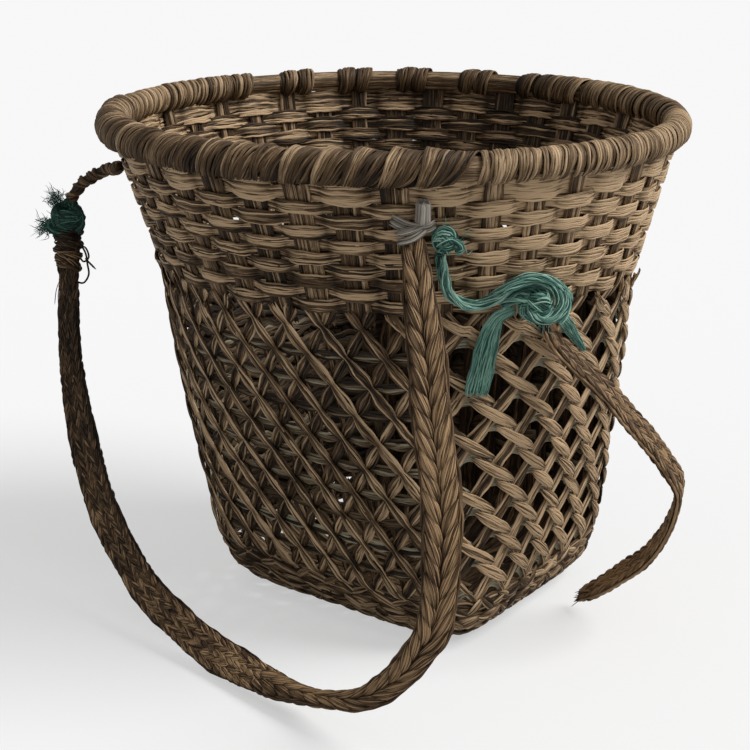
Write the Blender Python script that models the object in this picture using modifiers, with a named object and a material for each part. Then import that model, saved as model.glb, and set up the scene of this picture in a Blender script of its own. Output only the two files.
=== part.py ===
"""Woven carry basket: round wrapped rim, plain-weave band, open lattice, square base and plaited straps."""

import math

import bmesh
import bpy
from mathutils import Matrix, Vector

# Overall form, in metres. The reference line of every wall strip runs through the uprights.
HEIGHT = 0.352
BASE_HALF_X = 0.1077
BASE_HALF_Y = 0.0957
TOP_HALF_X = 0.1847
TOP_HALF_Y = 0.1887
BOTTOM_BEND = 0.034
BAND_FLARE = 0.007
LATTICE_INSET = 0.0042
RIM_LEAN_X = -0.009
RIM_LEAN_Y = -0.0125
WALL_LEAN = math.radians(14.0)
BASE_ROUNDNESS_SHARE = 0.12
ROUND_ROUNDNESS_SHARE = 0.5
ROUND_FROM_SHARE = 0.7
SLOPE_STEP = 0.002

# Lines up the wall on which every strip is laid out.
LINES = 40
LINES_ON_Y_FACE = 9
LINES_ON_X_FACE = 11
LINES_REACH_SHARE_X = 0.8633
LINES_REACH_SHARE_Y = 0.8522

# Heights; a drop is measured down from the top of the rim.
LATTICE_FOOT = 0.0462
LATTICE_UNDER_BAND = 0.0095
BAND_FOOT_SHARE = 0.703125
BAND_TOP_DROP = 0.0235
FIRST_ROW_SHARE = 0.68
ROWS = 10
HOOP_ROWS = 10
NODE_ROWS = 12
UPRIGHT_TOP_DROP = 0.0120
STRAND_TOP_DROP = 0.0075

# Strips.
STRIP = 0.0014
LEAST_MITRE_SHARE = 0.55
STRANDS = 4
UPRIGHT_WIDTH_BAND = 0.0034
UPRIGHT_WIDTH_LATTICE = 0.0050
UPRIGHT_BASE_SHARE = 0.733
UPRIGHT_LATTICE_SHARES = (0.8333, 0.5, 0.1667)
UPRIGHT_TURN_SHARES = (0.62, 0.3)
UPRIGHT_SPREAD_SHARES = (0.3, 0.6, 0.85)
CROSS_STRIPS = 9
CROSS_REACH_SHARE = 0.8348
CROSS_WIDTH_SHARE = 0.683
CROSS_TURN_SHARES = (0.93, 0.62, 0.3, 0.0)
STRAND_WIDTH_LATTICE = 0.0064
STRAND_WIDTH_BAND = 0.0046
STRAND_APART_WITH_UPRIGHT = 0.00435
STRAND_APART_ALONE = 0.0027
WEAVER_HEIGHT_SHARE = 0.901
WEAVER = 0.0015
WEAVER_OUT = 0.0024
WEAVER_IN = 0.00185
WEAVER_HOLD = 0.0074
HOOP_HEIGHT = 0.0046
BORDER_WIDTH = 0.0100
BORDER = 0.0022
BORDER_TURNS = (math.radians(46.0), math.radians(68.0), math.radians(90.0))

# Layers of the lattice, outwards from the uprights.
HOOP_LAYER = 0.0022
RISING_LAYER = 0.0046
FALLING_LAYER = 0.0077
BORDER_LAYER = 0.0033

# Base mat.
MAT_WAVE = 0.00095
TWILL = 2
MAT_CLEAR = 0.0004
LINES_CROSSED = 6
FOOT_TURN_SHARE = 0.2

# Rim.
RIM_HOOP = 0.0034
RIM_HOOP_HEIGHT = 0.0100
RIM_HOOP_LAYER = 0.0028
RIM_HOOP_DROP = 0.0098
# The binding's section: how far outside the wall, and the drop.
BINDING_PROFILE = (
    (-0.0052, 0.0170),
    (-0.0074, 0.0154),
    (-0.0085, 0.0108),
    (-0.0078, 0.0052),
    (-0.0046, 0.0014),
    (0.0, 0.0000),
    (0.0046, 0.0014),
    (0.0078, 0.0052),
    (0.0085, 0.0108),
    (0.0074, 0.0154),
    (0.0052, 0.0170),
    (0.0052, 0.0032),
    (-0.0052, 0.0032),
)

# Straps, ties and yarn. Places on the band are pairs: the line, and the row of weavers.
# Routes hold three shares: of the way round, of the height, and of the rim's half width out of the wall.
CLEARANCE = 0.0003
STRAP = 0.0050
STRAP_WIDTH = 0.0270
STRAP_FACES_BY_SHARE = (
    (0.0, (0.50, -0.85, 0.10)),
    (0.33, (0.50, -0.80, 0.25)),
    (0.44, (0.20, -0.65, 0.70)),
    (0.60, (0.05, -0.85, 0.45)),
    (1.0, (0.30, -0.95, 0.10)),
)
STRAP_WIDTH_BY_SHARE = (
    (0.0, 0.50),
    (0.02, 0.62),
    (0.07, 0.95),
    (0.30, 1.0),
    (0.42, 0.85),
    (0.52, 0.95),
    (0.80, 0.95),
    (0.92, 0.60),
    (0.965, 0.55),
    (0.97, 0.80),
    (1.0, 0.80),
)
LONG_STRAP_HINGE_SHARES = (0.20651, 0.85000, 0.05588)
LONG_STRAP_SHARES = (
    (0.20823, 0.85568, 0.04002),
    (0.20784, 0.82528, 0.09352),
    (0.20860, 0.79545, 0.14724),
    (0.20902, 0.75994, 0.20808),
    (0.20968, 0.68892, 0.31708),
    (0.20923, 0.61222, 0.39779),
    (0.20969, 0.53693, 0.47357),
    (0.20981, 0.46108, 0.54811),
    (0.20874, 0.36790, 0.62698),
    (0.20698, 0.29460, 0.67675),
    (0.20511, 0.24403, 0.70030),
    (0.20264, 0.20909, 0.70015),
    (0.20001, 0.17074, 0.69943),
    (0.19553, 0.12813, 0.69531),
    (0.18921, 0.08523, 0.68281),
    (0.18195, 0.06136, 0.66162),
    (0.16928, 0.04148, 0.64144),
    (0.13543, 0.03409, 0.61975),
    (0.08808, 0.03864, 0.58298),
    (0.04684, 0.06108, 0.53743),
    (0.02221, 0.09034, 0.49838),
    (0.00845, 0.14063, 0.47076),
    (0.99581, 0.20170, 0.46553),
    (0.98353, 0.28040, 0.47304),
    (0.97061, 0.37131, 0.48042),
    (0.95741, 0.47358, 0.48744),
    (0.94881, 0.55085, 0.47551),
    (0.94276, 0.60994, 0.46436),
    (0.93975, 0.63949, 0.45818),
    (0.93701, 0.66761, 0.44943),
    (0.93355, 0.69602, 0.42913),
    (0.93144, 0.71733, 0.41786),
)
LOOSE_STRAP_WIDTH = 0.0250
LOOSE_STRAP_ACROSS = (0.3224, -0.8667, -0.3807)
LOOSE_STRAP_WIDTH_BY_SHARE = (
    (0.0, 0.55),
    (0.12, 0.85),
    (0.30, 1.0),
    (0.85, 1.0),
    (0.95, 0.75),
    (1.0, 0.30),
)
LOOSE_STRAP_SHARES = (
    (0.28555, 0.67756, 0.08542),
    (0.29512, 0.63778, 0.08540),
    (0.30128, 0.61335, 0.11329),
    (0.30649, 0.59176, 0.14238),
    (0.31146, 0.57102, 0.17601),
    (0.32002, 0.53068, 0.23304),
    (0.32758, 0.48977, 0.28613),
    (0.33678, 0.44659, 0.35016),
    (0.34628, 0.39972, 0.40661),
    (0.35370, 0.36506, 0.44693),
    (0.35852, 0.33977, 0.46499),
    (0.36330, 0.30852, 0.46405),
    (0.37015, 0.25767, 0.44751),
    (0.37598, 0.20994, 0.41905),
    (0.38068, 0.15937, 0.37328),
    (0.38305, 0.10682, 0.29021),
    (0.38428, 0.05795, 0.20474),
    (0.38405, 0.02727, 0.13805),
)
TIE_RADIUS = 0.0050
LEFT_TIE_SHARES = (
    (0.96816, 0.88409, 0.04838),
    (0.95748, 0.87642, 0.06943),
    (0.94817, 0.86932, 0.08766),
    (0.94054, 0.86108, 0.14074),
    (0.93562, 0.84687, 0.20293),
    (0.93140, 0.82841, 0.26918),
    (0.92937, 0.80739, 0.32354),
    (0.92911, 0.78636, 0.35805),
)
LEFT_KNOT_SHARES = (0.92956, 0.75227, 0.39657)
LEFT_KNOT_RADII = (0.0130, 0.0120, 0.0112)
PEG_PLACE = (8.53, 8.33)
PEG_RADIUS = 0.0042
PEG_ROWS_SHARE = 1.728
PEG_TAPER_SHARE = 0.85
SLING_PLACES = ((7.88, 7.55), (8.13, 7.30), (8.40, 7.10), (8.62, 7.05), (8.80, 7.15))
SLING_BULGE_SHARES = (0.0, 0.65, 1.0, 0.75, 0.0)
SLING_BULGE = 0.0046
SLING_ROW_SHARE = 0.741
FRONT_KNOT_PLACE = (8.94, 6.22)
FRONT_KNOT_RADII = (0.0080, 0.0068, 0.0082)
SIDE_KNOT_PLACE = (11.02, 0.65)
SIDE_KNOT_RADII = (0.0118, 0.0110, 0.0118)
YARN_RADIUS = 0.0034
YARN_SHARES = (
    (0.22135, 0.83068, 0.05077),
    (0.22215, 0.81250, 0.04007),
    (0.22309, 0.78580, 0.04372),
    (0.22633, 0.75142, 0.04839),
    (0.23451, 0.73011, 0.04741),
    (0.24389, 0.72642, 0.04974),
    (0.25271, 0.74176, 0.06230),
    (0.26078, 0.76136, 0.06912),
    (0.27033, 0.77273, 0.07552),
    (0.28186, 0.76563, 0.08607),
    (0.29141, 0.74148, 0.10150),
    (0.29448, 0.72159, 0.10198),
)
ROUTE_STEPS = 2
KNOT_SIDES = 14
KNOT_RINGS = 9
YARN_TAIL = 0.0040
LONG_TAIL_WIDTH = 0.0160
LONG_TAIL_WIDTH_BY_SHARE = ((0.0, 0.35), (0.25, 0.7), (0.5, 1.0), (1.0, 1.0))
LONG_TAIL_SHARES = (
    (0.26474, 0.71250, 0.06354),
    (0.25650, 0.70170, 0.05836),
    (0.25162, 0.67898, 0.07051),
    (0.24831, 0.63920, 0.06146),
    (0.24347, 0.58722, 0.06331),
    (0.23919, 0.54545, 0.06592),
)
SHORT_TAIL_WIDTH = 0.0085
SHORT_TAIL_WIDTH_BY_SHARE = ((0.0, 0.8), (0.3, 1.0), (1.0, 0.25))
SHORT_TAIL_SHARES = (
    (0.29037, 0.69943, 0.10563),
    (0.30039, 0.67045, 0.09879),
    (0.31086, 0.64432, 0.07236),
    (0.32055, 0.61932, 0.06362),
    (0.33083, 0.59375, 0.05850),
)
TAIL_FACE = (0.80, -0.50, -0.20)

BARK = (0.20, 0.145, 0.095, 1.0)
DARK_BARK = (0.105, 0.078, 0.055, 1.0)
PALE_BARK = (0.42, 0.39, 0.34, 1.0)
YARN = (0.055, 0.24, 0.20, 1.0)

# Sizes that follow from those above.
BAND_FOOT = HEIGHT * BAND_FOOT_SHARE
LATTICE_HEAD = BAND_FOOT - LATTICE_UNDER_BAND
ROW_PITCH = (HEIGHT - BAND_TOP_DROP - BAND_FOOT) / ROWS
ROW_FIRST = BAND_FOOT + ROW_PITCH * FIRST_ROW_SHARE
WEAVER_HEIGHT = ROW_PITCH * WEAVER_HEIGHT_SHARE
UPRIGHT_TOP = HEIGHT - UPRIGHT_TOP_DROP
STRAND_TOP = HEIGHT - STRAND_TOP_DROP
RIM_HOOP_Z = HEIGHT - RIM_HOOP_DROP
MID = MAT_WAVE + STRIP / 2
BEND_TOP = MID + BOTTOM_BEND
FLAT_HALF_X = BASE_HALF_X - LATTICE_INSET - BOTTOM_BEND
FLAT_HALF_Y = BASE_HALF_Y - LATTICE_INSET - BOTTOM_BEND
BASE_PITCH_X = 2 * FLAT_HALF_X * LINES_REACH_SHARE_X / (LINES_ON_Y_FACE - 1)
CROSS_PITCH = 2 * FLAT_HALF_Y * CROSS_REACH_SHARE / (CROSS_STRIPS - 1)
UPRIGHT_WIDTH_BASE = BASE_PITCH_X * UPRIGHT_BASE_SHARE
CROSS_WIDTH = CROSS_PITCH * CROSS_WIDTH_SHARE
PEG_LENGTH = ROW_PITCH * PEG_ROWS_SHARE
SLING_WIDTH = ROW_PITCH * SLING_ROW_SHARE


def clear_scene():
    for thing in list(bpy.data.objects):
        bpy.data.objects.remove(thing, do_unlink=True)


def material(name, colour, roughness):
    made = bpy.data.materials.new(name)
    made.use_nodes = True
    shader = made.node_tree.nodes["Principled BSDF"]
    shader.inputs["Base Color"].default_value = colour
    shader.inputs["Roughness"].default_value = roughness
    shader.inputs["Metallic"].default_value = 0.0
    made.diffuse_color = colour
    return made


# Wall surface.
def roundness(height):
    share = min(height / HEIGHT / ROUND_FROM_SHARE, 1.0)
    return BASE_ROUNDNESS_SHARE + (ROUND_ROUNDNESS_SHARE - BASE_ROUNDNESS_SHARE) * share


def blend(low, high, share):
    return low + (high - low) * share


def ramp(value, start, end):
    return min(max((value - start) / (end - start), 0.0), 1.0)


def half_sides(height, inset):
    share = height / HEIGHT
    more = BAND_FLARE * ramp(height, BAND_FOOT, STRAND_TOP) - inset
    more -= LATTICE_INSET * (1.0 - ramp(height, LATTICE_HEAD, BAND_FOOT))
    return (
        blend(BASE_HALF_X, TOP_HALF_X, share) + more,
        blend(BASE_HALF_Y, TOP_HALF_Y, share) + more,
    )


def base_turn(place_share, other_axis):
    """The direction, in the stretched square of the base, of a line this far along its face."""
    power = 1.0 / roundness(0.0)
    across = (1.0 - abs(place_share) ** power) ** (1.0 / power)
    return math.atan2(-across, place_share) if other_axis else math.atan2(place_share, across)


def face_lines():
    """Each line's direction at the base and at the rim, anticlockwise from the -Y face."""
    step = math.tau / LINES
    found = []
    for quarter in range(4):
        on_y = quarter % 2 == 0
        count = LINES_ON_Y_FACE if on_y else LINES_ON_X_FACE
        reach_share = LINES_REACH_SHARE_X if on_y else LINES_REACH_SHARE_Y
        middle = quarter * math.pi / 2 - math.pi / 2
        for place in range(count):
            steps = place - (count - 1) / 2
            share = reach_share * 2 * steps / (count - 1)
            turn = base_turn(share, on_y) + (math.pi / 2 if on_y else 0.0)
            found.append((middle + turn, middle + steps * step))
    return found


def flat_point(line, height, inset):
    """The plan point of a line at this height, and the plan direction straight out of the wall there."""
    share = roundness(height)
    side_x, side_y = half_sides(height, inset)
    turn = blend(line[0], line[1], min(height / HEIGHT / ROUND_FROM_SHARE, 1.0))
    power = 1.0 / share
    cosine, sine = math.cos(turn), math.sin(turn)
    reach = (abs(cosine) ** power + abs(sine) ** power) ** (-share)
    flat_x, flat_y = side_x * reach * cosine, side_y * reach * sine
    slope_x = math.copysign((abs(flat_x) / side_x) ** (power - 1.0) / side_x, flat_x)
    slope_y = math.copysign((abs(flat_y) / side_y) ** (power - 1.0) / side_y, flat_y)
    moved = (height - RIM_HOOP_Z) / HEIGHT
    point = Vector((flat_x + RIM_LEAN_X * moved, flat_y + RIM_LEAN_Y * moved, height))
    return point, Vector((slope_x, slope_y, 0.0)).normalized()


def on_line(line, height, offset):
    """A point this far outside the wall, and the outward normal there."""
    point, out = flat_point(line, height, 0.0)
    step = SLOPE_STEP if height < HEIGHT / 2 else -SLOPE_STEP
    rise = flat_point(line, height + step, 0.0)[0] - point
    normal = (out * abs(rise.z) - Vector((0.0, 0.0, rise.dot(out) * math.copysign(1.0, step)))).normalized()
    return point + normal * offset, normal


def on_bend(line, turn, offset):
    """A point on the rounded bottom edge: turn 0 is flat on the floor, a right angle is the wall."""
    height = MID + BOTTOM_BEND * (1.0 - math.cos(turn))
    inset = BOTTOM_BEND * (1.0 - math.sin(turn))
    point, out = flat_point(line, height, inset)
    lean = max(WALL_LEAN, math.pi / 2 - turn)
    normal = out * math.cos(lean) - Vector((0.0, 0.0, math.sin(lean)))
    return point + normal * offset, normal


def between(lines, place, station):
    """A point on the flat facet between two neighbouring lines."""
    low = math.floor(place)
    first, first_normal = station(lines[low % LINES])
    share = place - low
    if share < 1e-6:
        return first, first_normal
    second, second_normal = station(lines[(low + 1) % LINES])
    return first.lerp(second, share), first_normal.lerp(second_normal, share).normalized()


def on_wall(lines, place, height, offset):
    return between(lines, place, lambda line: on_line(line, height, offset))


def by_shares(lines, shares):
    """The point at these shares of the way round, the height and the rim's half width outwards."""
    round_share, height_share, out_share = shares
    level = HEIGHT * height_share
    point, out = between(lines, round_share * LINES, lambda line: flat_point(line, level, 0.0))
    return point + out * out_share * TOP_HALF_X


def route(lines, table):
    return [by_shares(lines, row) for row in table]


def pitch_at(lines, place, height):
    first = on_line(lines[place % LINES], height, 0.0)[0]
    return (on_line(lines[(place + 1) % LINES], height, 0.0)[0] - first).length


# Strips and cords.
def new_object(name, data, look, home):
    made = bpy.data.objects.new(name, data)
    data.materials.append(look)
    home.objects.link(made)
    return made


def strip(name, stations, thickness, closed, look, home):
    """A flat strip through stations of point, normal and width, mitred where it turns."""
    count = len(stations)
    corners = []
    for index, (point, normal, width) in enumerate(stations):
        before = stations[index - 1][0] if closed or index else None
        after = stations[(index + 1) % count][0] if closed or index < count - 1 else None
        sides = []
        if before is not None:
            sides.append(normal.cross((point - before).normalized()).normalized())
        if after is not None:
            sides.append(normal.cross((after - point).normalized()).normalized())
        across = sum(sides, Vector()).normalized()
        across *= width / 2 / max(across.dot(sides[0]), LEAST_MITRE_SHARE)
        corners.extend((point - across, point + across))
    faces = []
    for index in range(count if closed else count - 1):
        here, there = 2 * index, 2 * ((index + 1) % count)
        faces.append((here, there, there + 1, here + 1))
    mesh = bpy.data.meshes.new(name)
    mesh.from_pydata([tuple(corner) for corner in corners], [], faces)
    made = new_object(name, mesh, look, home)
    thick = made.modifiers.new("thickness", "SOLIDIFY")
    thick.thickness = thickness
    thick.offset = 0.0
    return made


def cord(name, points, radius, roundness_steps, look, home):
    """A round cord along a smooth curve through its route."""
    run_points = smooth(points, ROUTE_STEPS)
    curve = bpy.data.curves.new(name, "CURVE")
    curve.dimensions = "3D"
    curve.bevel_depth = radius
    curve.bevel_resolution = roundness_steps
    curve.use_fill_caps = True
    run = curve.splines.new("POLY")
    run.points.add(len(run_points) - 1)
    for place, point in zip(run.points, run_points):
        place.co = (*point, 1.0)
    return new_object(name, curve, look, home)


def smooth(points, steps):
    """Points of a smooth curve through the chosen ones."""
    found = []
    for index in range(len(points) - 1):
        before = points[max(index - 1, 0)]
        here, there = points[index], points[index + 1]
        after = points[min(index + 2, len(points) - 1)]
        for step in range(steps):
            share = step / steps
            pull = (there - before) * share
            bend = (before * 2 - here * 5 + there * 4 - after) * share**2
            last = (here * 3 - before - there * 3 + after) * share**3
            found.append(here + (pull + bend + last) / 2)
    found.append(points[-1])
    return found


def read_share(table, share):
    """The value at this share of a table of (share, value) rows; a value is a number or a direction."""
    for (start, low), (end, high) in zip(table, table[1:]):
        if share <= end:
            along = ramp(share, start, end)
            if isinstance(low, tuple):
                return Vector(low).lerp(Vector(high), along)
            return blend(low, high, along)
    return table[-1][1]


def ribbon(name, chosen, face_at, width, width_by_share, thickness, look, home):
    """A flat strap through the chosen points; face_at gives the direction that its face looks in."""
    points = smooth(chosen, ROUTE_STEPS)
    lengths = [0.0]
    for first, second in zip(points, points[1:]):
        lengths.append(lengths[-1] + (second - first).length)
    stations = []
    for index, point in enumerate(points):
        share = lengths[index] / lengths[-1]
        along = points[min(index + 1, len(points) - 1)] - points[max(index - 1, 0)]
        face = face_at(share, along.normalized())
        stations.append((point, face, width * read_share(width_by_share, share)))
    return strip(name, stations, thickness, False, look, home)


def hang(piece, place):
    """Puts the piece's own origin on the line that it swings about."""
    piece.data.transform(Matrix.Translation(-place))
    piece.location = place


def long_strap_face(share, along):
    return read_share(STRAP_FACES_BY_SHARE, share).normalized()


def loose_strap_face(share, along):
    return Vector(LOOSE_STRAP_ACROSS).cross(along)


def tail_face(share, along):
    return Vector(TAIL_FACE).normalized()


# Pieces tied to the band.
def beside_band(lines, place, clear):
    """A point this far outside the weavers, at a line and a row of the band, and the outward normal there."""
    line, row = place
    return on_wall(lines, line, ROW_FIRST + row * ROW_PITCH, WEAVER_OUT + WEAVER / 2 + CLEARANCE + clear)


def lump(name, centre, radii, turn, look, home):
    """A rounded knot; its second radius points out of the wall when it is turned to face that way."""
    mesh = bpy.data.meshes.new(name)
    made = new_object(name, mesh, look, home)
    shape = bmesh.new()
    bmesh.ops.create_uvsphere(shape, u_segments=KNOT_SIDES, v_segments=KNOT_RINGS, radius=1.0)
    bmesh.ops.transform(shape, matrix=Matrix.Diagonal((*radii, 1.0)), verts=shape.verts)
    shape.to_mesh(mesh)
    shape.free()
    made.location = centre
    made.rotation_euler = (0.0, 0.0, turn)
    return made


def band_knot(name, lines, place, radii, look, home):
    centre, normal = beside_band(lines, place, radii[1])
    return lump(name, centre, radii, math.atan2(normal.y, normal.x) - math.pi / 2, look, home)


def peg(lines, look, home):
    """The bark stub that holds the front sling against the band."""
    centre, normal = beside_band(lines, PEG_PLACE, PEG_RADIUS)
    mesh = bpy.data.meshes.new("front_peg")
    made = new_object("front_peg", mesh, look, home)
    shape = bmesh.new()
    bmesh.ops.create_cone(
        shape,
        cap_ends=True,
        segments=KNOT_SIDES,
        radius1=PEG_RADIUS,
        radius2=PEG_RADIUS * PEG_TAPER_SHARE,
        depth=PEG_LENGTH,
    )
    shape.to_mesh(mesh)
    shape.free()
    up_wall = Vector((0.0, 0.0, 1.0)) - normal * normal.z
    made.location = centre
    made.rotation_euler = up_wall.to_track_quat("Z", "Y").to_euler()
    return made


def sling(lines, look, home):
    """The bark band round the peg, from which the long strap hangs."""
    stations = []
    for place, bulge in zip(SLING_PLACES, SLING_BULGE_SHARES):
        point, normal = beside_band(lines, place, STRIP / 2 + SLING_BULGE * bulge)
        stations.append((point, normal, SLING_WIDTH))
    return strip("front_sling", stations, STRIP, False, look, home)


# Base mat, uprights and cross strips.
def is_up(place, row):
    return (place + row) % (2 * TWILL) < TWILL


def mat_run(count, pitch, half_width, up_of):
    """Places along a mat strip, in metres from its middle, with its height over the middle plane."""
    found = []
    for index in range(count):
        middle = (index - (count - 1) / 2) * pitch
        height = MAT_WAVE if up_of(index) else -MAT_WAVE
        same_before = index > 0 and up_of(index - 1) == up_of(index)
        same_after = index < count - 1 and up_of(index + 1) == up_of(index)
        if not same_before:
            found.append((middle - half_width, height))
        if not same_after:
            found.append((middle + half_width, height))
    return found


def node_height(row):
    return blend(LATTICE_FOOT, LATTICE_HEAD, row / NODE_ROWS)


def upright(index, lines, look, home):
    """One strip up the -Y face, under the base and up the +Y face."""
    front = lines[index]
    back = lines[LINES_ON_Y_FACE + LINES_ON_X_FACE + LINES_ON_Y_FACE - 1 - index]
    halves = []
    for line in (front, back):
        up_wall = []
        for height in (UPRIGHT_TOP, BAND_FOOT, LATTICE_HEAD):
            up_wall.append((*on_line(line, height, 0.0), UPRIGHT_WIDTH_BAND))
        for share in UPRIGHT_LATTICE_SHARES:
            height = blend(LATTICE_FOOT, LATTICE_HEAD, share)
            up_wall.append((*on_line(line, height, 0.0), UPRIGHT_WIDTH_LATTICE))
        widths = [blend(UPRIGHT_WIDTH_LATTICE, UPRIGHT_WIDTH_BASE, share) for share in UPRIGHT_SPREAD_SHARES]
        up_wall.append((*on_line(line, BEND_TOP, 0.0), widths[0]))
        for share, width in zip(UPRIGHT_TURN_SHARES, widths[1:]):
            up_wall.append((*on_bend(line, share * math.pi / 2, 0.0), width))
        up_wall.append((*on_bend(line, 0.0, 0.0), UPRIGHT_WIDTH_BASE))
        halves.append(up_wall)
    down = Vector((0.0, 0.0, -1.0))
    start, end = halves[0][-1][0], halves[1][-1][0]
    middle = (start + end) / 2
    mat = []
    half_width = CROSS_WIDTH / 2 + MAT_CLEAR
    for place, height in mat_run(CROSS_STRIPS, CROSS_PITCH, half_width, lambda row: is_up(index, row)):
        mat.append((middle + Vector((0.0, place, height)), down, UPRIGHT_WIDTH_BASE))
    stations = halves[0] + mat + list(reversed(halves[1]))
    return strip(f"upright_strip_{index + 1}", stations, STRIP, False, look, home)


def cross_strip(index, lines, look, home):
    """One strip across the base, its ends turned up inside the border."""
    steps = index - (CROSS_STRIPS - 1) / 2
    turn = base_turn(CROSS_REACH_SHARE * 2 * steps / (CROSS_STRIPS - 1), False)
    halves = []
    for line in ((math.pi - turn, math.pi - turn), (turn, turn)):
        ends = []
        for share in CROSS_TURN_SHARES:
            ends.append((*on_bend(line, share * math.pi / 2, 0.0), CROSS_WIDTH))
        halves.append(ends)
    down = Vector((0.0, 0.0, -1.0))
    middle = (halves[0][-1][0] + halves[1][-1][0]) / 2
    mat = []
    half_width = UPRIGHT_WIDTH_BASE / 2 + MAT_CLEAR
    for along, height in mat_run(LINES_ON_Y_FACE, BASE_PITCH_X, half_width, lambda line: not is_up(line, index)):
        mat.append((middle + Vector((along, 0.0, height)), down, CROSS_WIDTH))
    stations = halves[0] + mat + list(reversed(halves[1]))
    return strip(f"base_strip_{index + 1}", stations, STRIP, False, look, home)


# Lattice and band.
def strand_apart(line):
    on_y = line % (LINES_ON_Y_FACE + LINES_ON_X_FACE) < LINES_ON_Y_FACE
    return STRAND_APART_WITH_UPRIGHT if on_y else STRAND_APART_ALONE


def strand(index, lines, look, home):
    """One endless strip: over the rim hoops, down through the lattice one way and up the other."""
    stations = []

    def add(place, height, layer, width):
        stations.append((*on_wall(lines, place, height, layer), width))

    across_both = 2 * LINES_CROSSED
    head = index
    for _ in range(LINES // 4):
        apart = strand_apart(head % LINES)
        at_head = apart / pitch_at(lines, head, LATTICE_HEAD)
        at_foot = apart / pitch_at(lines, head, BAND_FOOT)
        at_top = apart / pitch_at(lines, head, STRAND_TOP)
        add(head + at_top, STRAND_TOP, 0.0, STRAND_WIDTH_BAND)
        add(head + at_foot, BAND_FOOT, 0.0, STRAND_WIDTH_BAND)
        add(head + at_head, LATTICE_HEAD, FALLING_LAYER, STRAND_WIDTH_LATTICE)
        for step in range(1, LINES_CROSSED):
            add(head + step, node_height(NODE_ROWS - 2 * step), FALLING_LAYER, STRAND_WIDTH_LATTICE)
        foot = head + LINES_CROSSED
        add(foot - FOOT_TURN_SHARE, LATTICE_FOOT, FALLING_LAYER, STRAND_WIDTH_LATTICE)
        add(foot + FOOT_TURN_SHARE, LATTICE_FOOT, RISING_LAYER, STRAND_WIDTH_LATTICE)
        for step in range(1, LINES_CROSSED):
            add(foot + step, node_height(2 * step), RISING_LAYER, STRAND_WIDTH_LATTICE)
        head += across_both
        apart = strand_apart(head % LINES)
        at_head = apart / pitch_at(lines, head, LATTICE_HEAD)
        at_foot = apart / pitch_at(lines, head, BAND_FOOT)
        at_top = apart / pitch_at(lines, head, STRAND_TOP)
        add(head - at_head, LATTICE_HEAD, RISING_LAYER, STRAND_WIDTH_LATTICE)
        add(head - at_foot, BAND_FOOT, 0.0, STRAND_WIDTH_BAND)
        add(head - at_top, STRAND_TOP, 0.0, STRAND_WIDTH_BAND)
    return strip(f"lattice_strand_{index + 1}", stations, STRIP, True, look, home)


def hoop(name, lines, height, layer, width, thickness, look, home):
    stations = []
    for place in range(LINES):
        stations.append((*on_wall(lines, place, height, layer), width))
    return strip(name, stations, thickness, True, look, home)


def weaver(row, lines, look, home):
    """One row of the band, in front of every second upright and behind the others."""
    height = ROW_FIRST + row * ROW_PITCH
    stations = []
    for place in range(LINES):
        layer = WEAVER_OUT if (place + row) % 2 == 0 else -WEAVER_IN
        before = WEAVER_HOLD / pitch_at(lines, place - 1, height)
        after = WEAVER_HOLD / pitch_at(lines, place, height)
        stations.append((*on_wall(lines, place - before, height, layer), WEAVER_HEIGHT))
        stations.append((*on_wall(lines, place + after, height, layer), WEAVER_HEIGHT))
    return strip(f"band_weaver_{row + 1}", stations, WEAVER, True, look, home)


def border(index, lines, look, home):
    stations = []
    for line in lines:
        stations.append((*on_bend(line, BORDER_TURNS[index], BORDER_LAYER), BORDER_WIDTH))
    return strip(f"base_border_{index + 1}", stations, BORDER, True, look, home)


def binding(lines, look, home):
    """The wrapped cover of the rim, open underneath where the wall goes in."""
    corners = []
    for line in lines:
        for out, drop in BINDING_PROFILE:
            point, straight_out = flat_point(line, HEIGHT - drop, 0.0)
            corners.append(tuple(point + straight_out * out))
    size = len(BINDING_PROFILE)
    faces = []
    for ring in range(LINES):
        here, there = ring * size, (ring + 1) % LINES * size
        for side in range(size):
            step = (side + 1) % size
            faces.append((here + side, here + step, there + step, there + side))
    mesh = bpy.data.meshes.new("rim_binding")
    mesh.from_pydata(corners, [], faces)
    return new_object("rim_binding", mesh, look, home)


clear_scene()
home = bpy.data.collections.new("carry_basket")
bpy.context.scene.collection.children.link(home)
bark = material("bark_strip", BARK, 0.75)
dark_bark = material("dark_bark", DARK_BARK, 0.8)
pale_bark = material("pale_bark", PALE_BARK, 0.8)
yarn = material("yarn", YARN, 0.9)

all_lines = face_lines()
for number in range(LINES_ON_Y_FACE):
    upright(number, all_lines, bark, home)
for number in range(CROSS_STRIPS):
    cross_strip(number, all_lines, bark, home)
for number in range(STRANDS):
    strand(number, all_lines, bark, home)
for number in range(HOOP_ROWS):
    row_name = f"lattice_hoop_{number + 1}"
    hoop(row_name, all_lines, node_height(number + 1), HOOP_LAYER, HOOP_HEIGHT, STRIP, bark, home)
for number in range(ROWS):
    weaver(number, all_lines, bark, home)
for number in range(len(BORDER_TURNS)):
    border(number, all_lines, bark, home)
hoop("rim_hoop_outer", all_lines, RIM_HOOP_Z, RIM_HOOP_LAYER, RIM_HOOP_HEIGHT, RIM_HOOP, bark, home)
hoop("rim_hoop_inner", all_lines, RIM_HOOP_Z, -RIM_HOOP_LAYER, RIM_HOOP_HEIGHT, RIM_HOOP, bark, home)
binding(all_lines, bark, home)

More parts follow.
